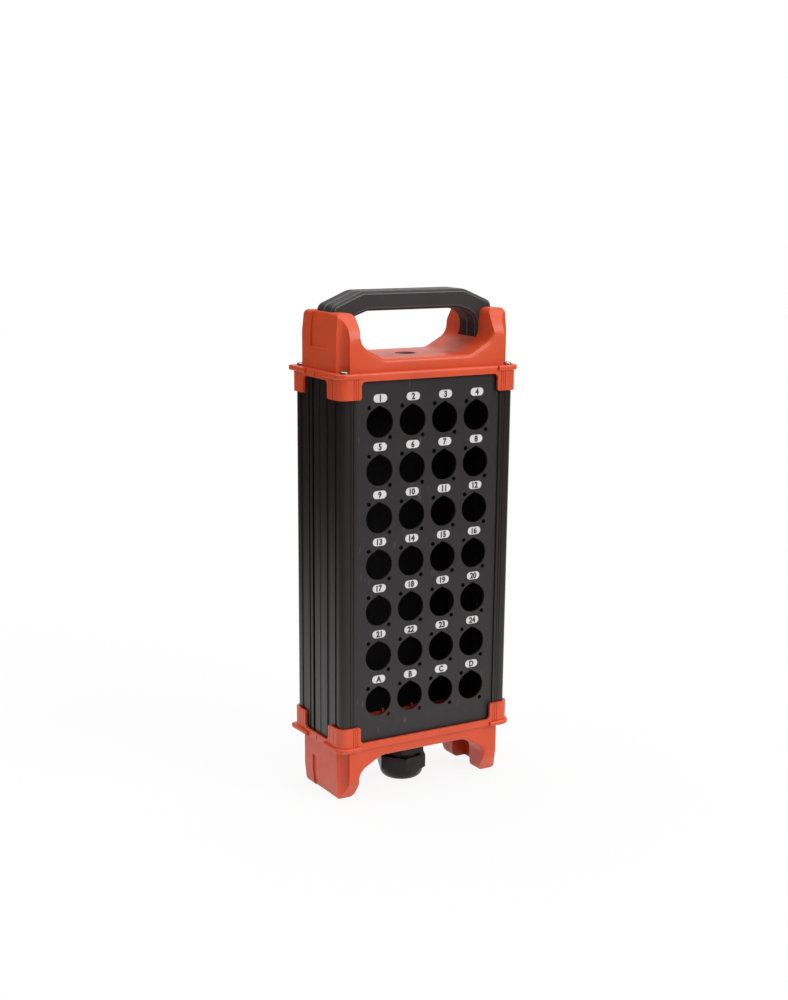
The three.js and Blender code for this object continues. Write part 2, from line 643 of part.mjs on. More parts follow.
function legScrewHoles(span) {
  return atCorners((sideX, sideY) =>
    post(sideX * LEG_SCREW_X, sideY * LEG_SCREW_Y, LEG_SCREW_HOLE_RADIUS, span, SCREW_FACETS),
  );
}

function topCap() {
  const floor = [POCKET_FLOOR_HEIGHT - POCKET_WALL, POCKET_FLOOR_HEIGHT];
  const mesh = piece("top_cap", capBody(DECK_HOLE_RADIUS, legScrewHoles(beyond(floor))), ORANGE_PLASTIC);
  mesh.position.z = TOP_FACE_Z;
  return mesh;
}

function bottomCap() {
  const mesh = piece("bottom_cap", capBody(THREAD_RADIUS + THREAD_CLEARANCE), ORANGE_PLASTIC);
  mesh.position.z = BOTTOM_FACE_Z;
  mesh.rotation.y = Math.PI;
  return mesh;
}

// Screws, drawn with the head's underside at height zero and the shank below
function screwBody({ headRadius, headHeight, shankRadius, length }) {
  const profile = [
    [0, -length],
    [shankRadius * TIP_SHARE, -length],
    [shankRadius, shankRadius - length],
    [shankRadius, 0],
    [headRadius, 0],
    [headRadius, headHeight * HEAD_EDGE_SHARE],
    [headRadius * HEAD_TOP_SHARE, headHeight],
    [0, headHeight],
  ];
  return turned(profile, SCREW_FACETS);
}

function fourScrews(prefix, sizes, x, y, z, headUp) {
  return BOTH_SIDES.flatMap((sideX) =>
    BOTH_SIDES.map((sideY) => {
      const place = (sideY < 0 ? "front" : "rear") + (sideX < 0 ? "_left" : "_right");
      const screw = piece(prefix + "_" + place, screwBody(sizes), STEEL);
      screw.position.set(sideX * x, sideY * y, z);
      screw.rotation.x = headUp ? 0 : Math.PI;
      return screw;
    }),
  );
}

// Handle, drawn at the same heights as the top cap
function handleOutline() {
  const overTheTop = mirrored([
    [LEG_INNER_X, LEG_LOW_HEIGHT],
    [HANDLE_END_X, LEG_LOW_HEIGHT],
    [HANDLE_END_X, HANDLE_END_HEIGHT, HANDLE_END_RADIUS],
    [HANDLE_KNEE_X, HANDLE_TOP_HEIGHT, HANDLE_KNEE_RADIUS],
  ]);
  const underTheGrip = [
    [-LEG_INNER_X, LEG_SHOULDER_HEIGHT, LEG_SHOULDER_RADIUS],
    [-GRIP_HALF_LENGTH, GRIP_UNDERSIDE_HEIGHT, GRIP_RADIUS],
    [GRIP_HALF_LENGTH, GRIP_UNDERSIDE_HEIGHT, GRIP_RADIUS],
    [LEG_INNER_X, LEG_SHOULDER_HEIGHT, LEG_SHOULDER_RADIUS],
  ];
  return [...overTheTop, ...underTheGrip];
}

function handleShell(name, side) {
  const depth = [-HANDLE_HALF_DEPTH, HANDLE_HALF_DEPTH];
  const bar = alongY(outline(handleOutline()), depth, [], HANDLE_BEVEL);
  const innerHalfDepth = HANDLE_HALF_DEPTH - HANDLE_WALL;
  const wholeWidth = beyond([-HANDLE_END_X, HANDLE_END_X]);
  const inner = alongY(outline(inset(handleOutline(), HANDLE_WALL)), [-innerHalfDepth, innerHalfDepth]);
  const hollow = inner.intersect(block(wholeWidth, depth, [LEG_SHOULDER_HEIGHT, HANDLE_TOP_HEIGHT]));
  const half = block(
    wholeWidth,
    onSide(side, HANDLE_PARTING / 2, HANDLE_HALF_DEPTH + OVERRUN),
    beyond([LEG_LOW_HEIGHT, HANDLE_TOP_HEIGHT]),
  );
  const screwTips = [LEG_LOW_HEIGHT - OVERRUN, LEG_SCREW_HEIGHT + handleScrew.length + SCREW_CLEARANCE];
  const shell = bar.intersect(half).subtract(hollow).subtract(legScrewHoles(screwTips));
  const mesh = piece(name, shell, BLACK_PLASTIC);
  mesh.position.z = TOP_FACE_Z;
  return mesh;
}

// Cable gland
function glandBody() {
  const sleeve = [SLEEVE_LOW_Z, BODY_HEX_HIGH_Z];
  const stub = [BODY_HEX_LOW_Z, THREAD_HIGH_Z];
  const slits = Array.from({ length: SLIT_COUNT / 2 }, (_, i) =>
    block(
      beyond([-SLEEVE_RADIUS, SLEEVE_RADIUS]),
      [-SLIT_WIDTH / 2, SLIT_WIDTH / 2],
      [SLEEVE_LOW_Z - OVERRUN, SLEEVE_LOW_Z + SLIT_LENGTH],
    ).rotate([0, 0, THREE.MathUtils.radToDeg((FULL_TURN * i) / SLIT_COUNT)]),
  );
  const body = post(0, 0, SLEEVE_RADIUS, sleeve)
    .add(hexPrism(BODY_HEX_FLATS, 0, [BODY_HEX_LOW_Z, BODY_HEX_HIGH_Z]))
    .add(post(0, 0, THREAD_RADIUS, stub))
    .subtract(post(0, 0, BORE_RADIUS, beyond([SLEEVE_LOW_Z, THREAD_HIGH_Z])))
    .subtract(post(0, 0, SLEEVE_BORE_RADIUS, [SLEEVE_LOW_Z - OVERRUN, SLEEVE_LOW_Z + SLEEVE_BORE_LENGTH]))
    .subtract(joined(slits));
  return piece("gland_body", body, BLACK_PLASTIC);
}

function glandWasher() {
  const span = [WASHER_LOW_Z, WASHER_HIGH_Z];
  const bore = post(0, 0, THREAD_RADIUS + THREAD_CLEARANCE, beyond(span));
  return piece("gland_sealing_washer", post(0, 0, WASHER_RADIUS, span).subtract(bore), BLACK_RUBBER);
}

function glandLockNut() {
  const low = DECK_INNER_Z + SEAT_GAP;
  const span = [low, low + LOCK_NUT_HEIGHT];
  const bore = post(0, 0, THREAD_RADIUS + THREAD_CLEARANCE, beyond(span));
  return piece("gland_lock_nut", hexPrism(LOCK_NUT_FLATS, 0, span).subtract(bore), BLACK_PLASTIC);
}

function glandDomeNut() {
  const radius = DOME_NUT_FLATS / 2 / Math.cos(Math.PI / HEX_SIDES);
  const dome = Array.from({ length: DOME_STEPS + 1 }, (_, i) => {
    const angle = ((Math.PI / 2) * i) / DOME_STEPS;
    return [
      DOME_BASE_RADIUS + (DOME_RADIUS - DOME_BASE_RADIUS) * Math.sin(angle),
      DOME_NUT_LOW_Z + DOME_HEIGHT * (1 - Math.cos(angle)),
    ];
  });
  const round = turned([
    [0, DOME_NUT_LOW_Z],
    ...dome,
    [radius, DOME_NUT_LOW_Z + DOME_HEIGHT + DOME_SHOULDER_HEIGHT],
    [radius, DOME_NUT_HIGH_Z - DOME_NUT_CHAMFER],
    [radius - DOME_NUT_CHAMFER, DOME_NUT_HIGH_Z],
    [0, DOME_NUT_HIGH_Z],
  ]);
  const nut = round
    .intersect(hexPrism(DOME_NUT_FLATS, DOME_NUT_TURN, beyond([DOME_NUT_LOW_Z, DOME_NUT_HIGH_Z])))
    .subtract(post(0, 0, SLEEVE_RADIUS + THREAD_CLEARANCE, [NUT_FLOOR_Z, DOME_NUT_HIGH_Z + OVERRUN]))
    .subtract(post(0, 0, DOME_NUT_MOUTH_RADIUS, beyond([DOME_NUT_LOW_Z, NUT_FLOOR_Z])));
  return piece("gland_dome_nut", nut, BLACK_PLASTIC);
}

function glandSeal() {
  const low = NUT_FLOOR_Z + SEAT_GAP;
  const span = [low, low + SEAL_LENGTH];
  const seal = post(0, 0, SEAL_OUTER_RADIUS, span).subtract(post(0, 0, SEAL_BORE_RADIUS, beyond(span)));
  return piece("gland_seal_insert", seal, BLACK_RUBBER);
}

const housing = new THREE.Group();
housing.add(
  sideProfile("left_side_profile", -1),
  sideProfile("right_side_profile", 1),
  panel("front_panel", -1, connectorHoles()),
  panel("rear_panel", 1, []),
  topCap(),
  bottomCap(),
  ...fourScrews("top_screw", capScrew, SCREW_X, SCREW_Y, TOP_FACE_Z + SEAT_GAP, true),
  ...fourScrews("bottom_screw", capScrew, SCREW_X, SCREW_Y, BOTTOM_FACE_Z - SEAT_GAP, false),
  handleShell("handle_front_shell", -1),
  handleShell("handle_rear_shell", 1),
  ...fourScrews("handle_screw", handleScrew, LEG_SCREW_X, LEG_SCREW_Y, TOP_FACE_Z + LEG_SCREW_HEIGHT, false),
  glandBody(),
  glandWasher(),
  glandLockNut(),
  glandSeal(),
  glandDomeNut(),
);

export default housing;
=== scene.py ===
import math

import bmesh
import bpy
from bpy.props import FloatProperty, FloatVectorProperty, IntProperty, PointerProperty
from bpy.types import Operator, Panel, PropertyGroup
from mathutils import Matrix, Vector


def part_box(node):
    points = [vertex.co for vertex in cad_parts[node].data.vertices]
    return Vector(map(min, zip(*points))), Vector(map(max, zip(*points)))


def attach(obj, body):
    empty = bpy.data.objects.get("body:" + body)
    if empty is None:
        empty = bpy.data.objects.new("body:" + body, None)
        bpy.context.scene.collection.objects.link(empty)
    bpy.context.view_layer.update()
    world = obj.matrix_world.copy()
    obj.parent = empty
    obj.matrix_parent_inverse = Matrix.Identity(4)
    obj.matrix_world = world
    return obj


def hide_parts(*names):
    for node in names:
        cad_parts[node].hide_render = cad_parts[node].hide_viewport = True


bl_info = {
    "name": "Stage Box Housing",
    "version": (1, 0, 0),
    "blender": (4, 5, 0),
    "location": "View3D > Sidebar > Stage Box",
    "description": "Builds the finished look of a stage box housing on its construction model",
    "category": "Add Mesh",
}

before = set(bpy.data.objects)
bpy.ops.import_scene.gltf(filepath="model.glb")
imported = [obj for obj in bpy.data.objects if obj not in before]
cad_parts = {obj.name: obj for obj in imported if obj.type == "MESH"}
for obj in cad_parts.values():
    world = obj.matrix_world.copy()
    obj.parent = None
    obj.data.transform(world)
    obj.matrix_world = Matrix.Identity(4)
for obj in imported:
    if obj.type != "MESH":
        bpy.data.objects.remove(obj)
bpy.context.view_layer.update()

QUARTER_TURN = math.pi / 2
HALF_TURN = math.pi
FULL_TURN = 2 * math.pi
UPRIGHT = Matrix.Rotation(QUARTER_TURN, 4, "X")  # stands a flat piece up, facing the front
BOTH_SIDES = (-1, 1)
HEX_SIDES = 6
ARC_STEP = math.radians(7.5)
SMALL_HOLE_SIDES = 24
FIXING_SIDES = 28
CHANNEL_SIDES = 32
SCREW_SIDES = 40
POST_SIDES = 64
ROUND_SIDES = 96
OVERRUN = 0.001  # how far a cutting shape passes the face that it cuts
POINTS_MEET = 1e-7  # points nearer than this are one
AXIS_RADIUS = 1e-6  # what a solid of revolution has for a radius where it meets its axis


# Properties
def length(name, value, note):
    return FloatProperty(name=name, description=note, default=value, min=0.0, unit="LENGTH", precision=5)


def place(name, value, note):
    return FloatProperty(name=name, description=note, default=value, unit="LENGTH", precision=5)


def angle(name, value, note):
    return FloatProperty(name=name, description=note, default=value, subtype="ANGLE", unit="ROTATION")


def share(name, value, note):
    return FloatProperty(name=name, description=note, default=value, min=0.0, max=1.0, subtype="FACTOR")


def count(name, value, note):
    return IntProperty(name=name, description=note, default=value, min=1)


def paint(name, value, note):
    return FloatVectorProperty(name=name, description=note, default=value, min=0, max=1, subtype="COLOR")


class PanelSizes(PropertyGroup):
    """Front and rear panels with their connector cut-outs."""

    columns: count("Columns", 4, "Cut-outs in one row")
    rows: count("Rows", 7, "Cut-outs in one column")
    column_pitch: length("Column pitch", 0.030, "Distance between two columns")
    row_pitch: length("Row pitch", 0.038, "Distance between two rows")
    grid_drop: length("Grid drop", 0.0002, "How far the cut-outs' middle lies below the panel's middle")
    cutout_radius: length("Cut-out radius", 0.012, "Radius of a round cut-out")
    cutout_peak: length("Cut-out peak", 0.0135, "Height of the pointed top over the cut-out's centre")
    peak_radius: length("Peak radius", 0.0012, "Rounding of the pointed top")
    fixing_spread_x: length("Fixing spread across", 0.0095, "From the centre to a fixing hole, across")
    fixing_spread_z: length("Fixing spread up", 0.012, "From the centre to a fixing hole, up")
    fixing_radius: length("Fixing hole radius", 0.00175, "Radius of a fixing hole")
    edge: length("Edge", 0.00025, "Rounding of the panel's edges")


class LabelSizes(PropertyGroup):
    """Printed plates with the numbers and letters of the cut-outs."""

    width: length("Width", 0.0122, "Width of one printed plate")
    height: length("Height", 0.0064, "Height of one printed plate")
    rise: length("Rise", 0.0190, "Height of a plate's middle over the cut-out's centre")
    shift: place("Shift", 0.0004, "How far a plate stands to the right of the cut-out's centre")
    ink: length("Ink", 0.00005, "Thickness of one coat of ink")
    digit_height: length("Digit height", 0.0052, "Height of the digits and letters")
    boldness: share("Boldness", 0.047, "How far a digit's strokes grow, as a share of the letter size")
    end_roundness: share("End roundness", 0.49, "Rounding of a plate's ends as a share of its height")


class ProfileSizes(PropertyGroup):
    """Extruded side profiles."""

    corner_radius: length("Corner radius", 0.005, "Outer corner of the profile")
    wall: length("Wall", 0.0026, "Wall of the profile")
    cavity_radius: length("Cavity radius", 0.002, "Inner corner of the profile")
    panel_clearance: length("Panel clearance", 0.00015, "Clearance on each side of the panel")
    slot_rib: length("Slot rib", 0.002, "Rib behind the panel slot")
    channel_wall: length("Channel wall", 0.0017, "Wall round a screw channel")
    seam_y: place("Seam place", 0.0077, "Middle of the deep slot in the outer face")
    seam_width: length("Seam width", 0.0034, "Width of the deep slot")
    seam_depth: length("Seam depth", 0.0045, "Depth of the deep slot")
    seam_wall: length("Seam wall", 0.0013, "Wall round the deep slot")
    edge: length("Edge", 0.00035, "Rounding of the profile's edges")


class CapSizes(PropertyGroup):
    """End caps. Heights start at the rim's outer face and grow away from the body."""

    clearance: length("Clearance", 0.0003, "Clearance between cap and profile")
    rim_wall: length("Rim wall", 0.0021, "Wall of the rim")
    rim_height: length("Rim height", 0.0062, "Height of the rim between the corner tabs")
    rim_edge: length("Rim edge", 0.0016, "Rounding of the rim's outer edge")
    plate_thickness: length("Plate thickness", 0.0024, "Thickness of the plate inside the rim")
    tab_length: length("Tab length", 0.0202, "Length of the corner tabs")
    tab_inner_x: length("Tab inner place, long side", 0.0632, "Free edge of a tab on the long side")
    tab_inner_y: length("Tab inner place, short side", 0.0198, "Free edge of a tab on the short side")
    tab_gap_radius: length("Tab gap radius", 0.0036, "Rounding between tab and rim")
    tab_corner_radius: length("Tab corner radius", 0.002, "Rounding of the tabs' free corners")
    tab_groove_pitch: length("Tab groove pitch", 0.0019, "Distance between two grooves on a tab")
    tab_groove_inset: length("Tab groove inset", 0.00304, "From a tab's free edge to its first groove")
    tab_groove_width: length("Tab groove width", 0.0007, "Width of a groove on a tab")
    tab_groove_depth: length("Tab groove depth", 0.0004, "Depth of a groove on a tab")
    tab_grooves: count("Tab grooves", 3, "Grooves on the long side of a tab")
    end_groove_y: place("End groove place", 0.023, "Inner groove on the end face of a tab")
    end_groove_pitch: length("End groove pitch", 0.0058, "Distance between two grooves on a tab's end face")
    end_grooves: count("End grooves", 2, "Grooves on the end face of a tab")
    ear_thickness: length("Ear thickness", 0.004, "Thickness of a screw ear")
    ear_reach_x: length("Ear reach, short side", 0.0019, "How far an ear stands out over the rim")
    ear_reach_y: length("Ear reach, long side", 0.0019, "How far an ear stands out over the rim")
    ear_radius: length("Ear radius", 0.009, "Rounding of a front ear's corner")
    ear_rear_radius: length("Rear ear radius", 0.003, "Rounding of a rear ear's corner")
    ear_inner_y: length("Ear inner place", 0.0146, "End of an ear on the short side")
    ear_edge: length("Ear edge", 0.0012, "Rounding of an ear's edges")
    rib_pitch: length("Rib pitch", 0.030, "Distance between two inner ribs")
    rib_thickness: length("Rib thickness", 0.002, "Thickness of an inner rib")
    rib_height: length("Rib height", 0.003, "Height of an inner rib over the plate")
    rib_depth: length("Rib depth", 0.0032, "Depth of an inner rib")
    notch_width: length("Notch width", 0.0011, "Width of the small notch in each end of the rim")
    notch_depth: length("Notch depth", 0.0006, "Depth of that notch")
    notch_height: length("Notch height", 0.0048, "Height of that notch")
    crown_half_width: length("Crown half width", 0.0787, "Half width of the crown")
    crown_half_depth: length("Crown half depth", 0.0363, "Half depth of the crown")
    crown_wall: length("Crown wall", 0.003, "Wall of the crown")
    crown_edge: length("Crown edge", 0.0028, "Rounding along the deck, the sweep and the towers")
    end_edge: length("End edge", 0.001, "Rounding at the crown's two end faces")
    tower_tip_x: length("Tower tip", 0.0769, "Outer place of the tower's tip")
    lean_height: length("Lean height", 0.0277, "Height above which the end face leans in")
    tower_tip_radius: length("Tower tip radius", 0.0035, "Rounding of the tip's outer edge")
    tower_inner_x: length("Tower inner place", 0.0616, "Inner place of the tower's tip")
    tower_inner_radius: length("Tower inner radius", 0.0055, "Rounding of the tip's inner edge")
    taper_height: length("Taper height", 0.0282, "Height above which the towers' long sides lean in")
    tower_side_radius: length("Tower side radius", 0.020, "Rounding where the long sides start to lean")
    tip_half_depth: length("Tip half depth", 0.0255, "Half depth of a tower's tip")
    tower_crest_radius: length("Tower crest radius", 0.002, "Rounding between long side and tip")
    sweep_x: length("Sweep place", 0.0607, "Where the sweep meets the tower")
    sweep_height: length("Sweep height", 0.0206, "Height at which the sweep meets the tower")
    sweep_radius: length("Sweep radius", 0.012, "Rounding between sweep and tower")
    deck_half_length: length("Deck half length", 0.0400, "Half length of the flat deck")
    deck_height: length("Deck height", 0.0094, "Height of the deck")
    plug_drop: length("Plug drop", 0.0004, "How far the plug's face lies below the deck")
    plug_edge: length("Plug edge", 0.000125, "Rounding of the plug's edges")
    deck_radius: length("Deck radius", 0.014, "Rounding between deck and sweep")
    deck_hole_radius: length("Deck hole radius", 0.0085, "Radius of the hole in the top cap's deck")
    recess_half_width: length("Recess half width", 0.014, "Half width of the shallow field on each end")
    recess_height: length("Recess height", 0.0174, "Height at which the shallow field starts")
    sill_height: length("Sill height", 0.0009, "Height of the sloping sill under the recess")
    recess_depth: length("Recess depth", 0.0013, "Depth of the shallow field")
    screw_inset_x: length("Screw inset, across", 0.0045, "Distance of a cap screw from the profile's side")
    screw_inset_y: length("Screw inset, deep", 0.0032, "Distance of a cap screw from the profile's face")
    flute_shift_x: length("Flute shift, across", 0.002, "From a screw to its flute's middle, outwards")
    flute_shift_y: length("Flute shift, deep", 0.0008, "From a screw to its flute's middle, inwards")
    flute_radius: length("Flute radius", 0.0065, "Radius of the screwdriver flute at a corner")
    pocket_floor: length("Pocket floor", 0.013, "Height of the handle pocket's floor")
    pocket_clearance: length("Pocket clearance", 0.0003, "Clearance round the handle's leg")
    pocket_wall: length("Pocket wall", 0.0026, "Wall of the handle pocket")
    edge: length("Edge", 0.0005, "Rounding of the remaining edges")


class HandleSizes(PropertyGroup):
    """Carrying handle. Heights are those of the top cap."""

    half_depth: length("Half depth", 0.0134, "Half depth of the handle")
    bevel: length("Bevel", 0.0022, "Chamfer along the handle's edges")
    parting: length("Parting", 0.0004, "Gap between the two shells")
    parting_edge: length("Parting edge", 0.0005, "Rounding of the edges at that gap")
    top_height: length("Top height", 0.0598, "Height of the grip's top")
    knee_x: length("Knee place", 0.0471, "Where the top starts to fall")
    knee_radius: length("Knee radius", 0.016, "Rounding of that bend")
    end_x: length("End place", 0.0740, "Outer place of the leg")
    end_height: length("End height", 0.0488, "Height of the leg's outer shoulder")
    end_radius: length("End radius", 0.0065, "Rounding of that shoulder")
    grip_underside: length("Grip underside", 0.0446, "Height of the grip's underside")
    grip_half_length: length("Grip half length", 0.042, "Half length of the grip's underside")
    grip_radius: length("Grip radius", 0.010, "Rounding at the underside's ends")
    leg_inner_x: length("Leg inner place", 0.059, "Inner place of the leg")
    leg_shoulder: length("Leg shoulder", 0.0388, "Height of the leg's inner shoulder")
    leg_radius: length("Leg radius", 0.012, "Rounding of that shoulder")
    seat_gap: length("Seat gap", 0.00015, "Gap between the leg and the pocket's floor")
    edge: length("Edge", 0.0004, "Rounding of the chamfer's edges")


class GlandSizes(PropertyGroup):
    """Cable gland."""

    thread_radius: length("Thread radius", 0.0158, "Radius of the thread")
    bore_radius: length("Bore radius", 0.0125, "Radius of the bore")
    hex_flats: length("Hexagon", 0.037, "Size of the body's hexagon across its flats")
    hex_height: length("Hexagon height", 0.009, "Height of the body's hexagon")
    hex_chamfer: length("Hexagon chamfer", 0.0012, "Chamfer on the hexagon's corners")
    seat_gap: length("Seat gap", 0.00015, "Gap between the hexagon and the washer")
    sleeve_radius: length("Sleeve radius", 0.0164, "Radius of the sleeve inside the dome nut")
    sleeve_bore_radius: length("Sleeve bore radius", 0.015, "Bore that holds the rubber insert")
    sleeve_bore_top: length("Sleeve bore top", 0.0230, "Height of that bore's end")
    slits: count("Slits", 8, "Slits in the sleeve")
    slit_width: length("Slit width", 0.0016, "Width of one slit")
    slit_length: length("Slit length", 0.009, "Length of one slit")
    dome_flats: length("Dome nut flats", 0.038, "Size of the dome nut across its flats")
    dome_turn: angle("Dome nut turn", -1.949, "Angle from +X to one corner of the dome nut")
    dome_base_radius: length("Dome base radius", 0.0126, "Flat ring round the nut's mouth")
    dome_radius: length("Dome radius", 0.0186, "Where the dome meets the hexagon")
    dome_height: length("Dome height", 0.008, "Height of the dome")
    dome_shoulder: length("Dome shoulder", 0.0018, "Height of the slanted shoulder over the dome")
    dome_floor: length("Dome floor", 0.004, "Thickness of the nut's floor")
    mouth_radius: length("Mouth radius", 0.0115, "Radius of the nut's mouth")
    nut_chamfer: length("Nut chamfer", 0.0012, "Chamfer at the nut's upper end")
    thread_clearance: length("Thread clearance", 0.0004, "Clearance of the threads")
    edge: length("Edge", 0.0004, "Rounding of the gland's edges")


class ScrewSizes(PropertyGroup):
    """Cap screws."""

    head_radius: length("Head radius", 0.0037, "Radius of the head")
    head_height: length("Head height", 0.0022, "Height of the head")
    brim_share: share("Brim", 0.35, "Upright part of the head's side as a share of its height")
    shank_radius: length("Shank radius", 0.0015, "Radius of the shank")
    shank_length: length("Shank length", 0.016, "Length of the shank")
    slot_length: length("Slot length", 0.0038, "Length of one arm pair of the cross recess")
    slot_width: length("Slot width", 0.0009, "Width of the cross recess")
    slot_depth: length("Slot depth", 0.0013, "Depth of the cross recess")
    hole_clearance: length("Hole clearance", 0.0003, "Clearance round the shank")
    edge: length("Edge", 0.0001, "Rounding of the screw's edges")


class Colours(PropertyGroup):
    """Colours of the finishes."""

    cap: paint("Caps", (0.63, 0.061, 0.0085), "Orange moulded plastic")
    # A paler orange laid on the caps' outward edge strips: a painted highlight along the edges.
    cap_edge_highlight: paint("Cap edges", (0.88, 0.220, 0.110), "Orange plastic painted paler along its edges as a highlight")
    panel: paint("Panels", (0.0140, 0.0092, 0.0108), "Charcoal powder coat")
    # Darker than the panel coat: painted shade on the panels' faces inside the box.
    inner: paint("Inner faces", (0.0035, 0.0028, 0.0028), "Black of the panels' inner faces")
    profile: paint("Profiles", (0.0125, 0.0085, 0.0075), "Black anodised extrusion")
    handle: paint("Handle", (0.037, 0.034, 0.035), "Black moulded plastic of the handle")
    # A paler grey laid on the handle's outward edge strips: a painted highlight along the edges.
    handle_edge_highlight: paint("Handle edges", (0.10, 0.098, 0.096), "Handle plastic painted paler along its edges as a highlight")
    gland: paint("Gland", (0.0075, 0.0035, 0.0042), "Black nylon of the gland")
    rubber: paint("Rubber", (0.008, 0.008, 0.008), "Black rubber")
    steel: paint("Steel", (0.38, 0.37, 0.35), "Zinc plated steel")
    plate: paint("Plates", (0.60, 0.59, 0.59), "Printed number plates")
    ink: paint("Digits", (0.028, 0.027, 0.028), "Printed digits")
    floor: paint("Floor", (0.80, 0.80, 0.80), "Floor of the studio")


class HousingSettings(PropertyGroup):
    """Everything that a user can change."""

    panel: PointerProperty(type=PanelSizes, name="Panels", description="Sizes of the panels")
    label: PointerProperty(type=LabelSizes, name="Labels", description="Sizes of the labels")
    profile: PointerProperty(type=ProfileSizes, name="Profiles", description="Sizes of the profiles")
    cap: PointerProperty(type=CapSizes, name="Caps", description="Sizes of the end caps")
    handle: PointerProperty(type=HandleSizes, name="Handle", description="Sizes of the handle")
    gland: PointerProperty(type=GlandSizes, name="Gland", description="Sizes of the cable gland")
    screw: PointerProperty(type=ScrewSizes, name="Screws", description="Sizes of the cap screws")
    colour: PointerProperty(type=Colours, name="Colours", description="Colours of the finishes")


def settings():
    return bpy.context.scene.stage_box_housing


# Outlines. A corner is (x, y, radius), and corners run counterclockwise round the solid.
def directions(corners, i):
    before, corner, after = corners[i - 1], corners[i], corners[(i + 1) % len(corners)]
    arriving = (Vector(corner[:2]) - Vector(before[:2])).normalized()
    leaving = (Vector(after[:2]) - Vector(corner[:2])).normalized()
    turn = math.atan2(arriving.cross(leaving), arriving.dot(leaving))
    return arriving, leaving, turn


def arc_steps(corners):
    """How many steps each corner's arc has; a corner without a radius has none."""
    return [
        math.ceil(abs(directions(corners, i)[2]) / ARC_STEP) if corner[2] > 0 else 0
        for i, corner in enumerate(corners)
    ]


def rounded(corners, steps=None):
    """The points of an outline. A corner keeps its number of points when its radius shrinks to nothing."""
    points = []
    for i, (corner, step_count) in enumerate(zip(corners, steps or arc_steps(corners))):
        arriving, _, turn = directions(corners, i)
        at = Vector(corner[:2])
        radius = corner[2]
        if step_count == 0:
            points.append(at)
            continue
        to_centre = Vector((-arriving.y, arriving.x)) * (math.copysign(radius, turn))
        centre = at - arriving * radius * math.tan(abs(turn) / 2) + to_centre
        start = math.atan2(-to_centre.y, -to_centre.x)
        for k in range(step_count + 1):
            points.append(on_circle(centre, radius, start + turn * k / step_count) if radius else at.copy())
    return points


def on_circle(centre, radius, at_angle):
    return Vector((centre[0] + radius * math.cos(at_angle), centre[1] + radius * math.sin(at_angle)))


def quarter_turns(steps):
    """The angles of a quarter circle in even steps, from nought on."""
    return [QUARTER_TURN * i / steps for i in range(steps + 1)]


def inset(corners, distance):
    """The same corners moved into the solid by a distance, each fillet with the radius that follows."""
    moved = []
    for i, (x, y, radius) in enumerate(corners):
        arriving, leaving, turn = directions(corners, i)
        scale = distance / (1 + arriving.dot(leaving))
        kept = max(0.0, radius - math.copysign(distance, turn)) if radius > 0 else 0.0
        moved.append((x - (arriving.y + leaving.y) * scale, y + (arriving.x + leaving.x) * scale, kept))
    return moved


def rectangle(x, y, radius=0.0):
    return [(x[0], y[0], radius), (x[1], y[0], radius), (x[1], y[1], radius), (x[0], y[1], radius)]


def mirrored(right_half):
    return list(right_half) + [(-x, y, radius) for x, y, radius in reversed(right_half)]


def corner_reach(across_flats):
    """Distance from a hexagon's middle to its corners."""
    return across_flats / 2 / math.cos(HALF_TURN / HEX_SIDES)


def hexagon(across_flats, turn=0.0):
    reach = corner_reach(across_flats)
    corners = [on_circle((0, 0), reach, turn + FULL_TURN * i / HEX_SIDES) for i in range(HEX_SIDES)]
    return [(corner.x, corner.y, 0.0) for corner in corners]


def around(middle, half):
    return (middle - half, middle + half)


def on_side(side, near, far):
    return (near, far) if side > 0 else (-far, -near)


def beyond(span):
    return (span[0] - OVERRUN, span[1] + OVERRUN)


# Solids
AXIS_TURNS = {
    "Z": Matrix(((1, 0, 0), (0, 1, 0), (0, 0, 1))),
    "Y": Matrix(((1, 0, 0), (0, 0, 1), (0, 1, 0))),
    "X": Matrix(((0, 0, 1), (1, 0, 0), (0, 1, 0))),
}


def new_object(name, mesh):
    made = bpy.data.objects.new(name, mesh)
    bpy.context.scene.collection.objects.link(made)
    return made


def solid_from(name, rings, closed_ends=True):
    """A closed solid from rings of points that have the same number of points each."""
    shape = bmesh.new()
    loops = [[shape.verts.new(point) for point in ring] for ring in rings]
    following_loops = loops[1:] if closed_ends else loops[1:] + loops[:1]
    for low, high in zip(loops, following_loops):
        for i in range(len(low)):
            following = (i + 1) % len(low)
            shape.faces.new((low[i], low[following], high[following], high[i]))
    if closed_ends:
        shape.faces.new(list(reversed(loops[0])))
        shape.faces.new(loops[-1])
    bmesh.ops.remove_doubles(shape, verts=shape.verts, dist=POINTS_MEET)
    bmesh.ops.dissolve_degenerate(shape, edges=shape.edges, dist=POINTS_MEET)
    bmesh.ops.recalc_face_normals(shape, faces=shape.faces)
    mesh = bpy.data.meshes.new(name)
    shape.to_mesh(mesh)
    shape.free()
    return new_object(name, mesh)


def prism(corners, span, axis="Z", low_edge=0.0, high_edge=0.0, steps=5):
    """An outline run along an axis, with its two ends' edges rounded, or chamfered where steps is one."""
    def layers_at(end, way, edge, turns):
        return [(end + way * edge * (1 - math.cos(turn)), edge * (1 - math.sin(turn))) for turn in turns]

    turns = quarter_turns(steps)
    layers = layers_at(span[0], 1, low_edge, turns if low_edge else turns[-1:])
    layers += layers_at(span[1], -1, high_edge, turns[::-1] if high_edge else turns[-1:])
    arcs = arc_steps(corners)
    turn = AXIS_TURNS[axis]
    rings = [
        [turn @ Vector((point.x, point.y, height)) for point in rounded(inset(corners, distance), arcs)]
        for height, distance in layers
    ]
    return solid_from("prism", rings)


def block(x, y, z):
    return prism(rectangle(x, y), z)


def level_ring(centre, radius, height, sides):
    points = [on_circle(centre, radius, FULL_TURN * i / sides) for i in range(sides)]
    return [Vector((point.x, point.y, height)) for point in points]


def post(x, y, radius, span, sides=POST_SIDES):
    return solid_from("post", [level_ring((x, y), radius, height, sides) for height in span])


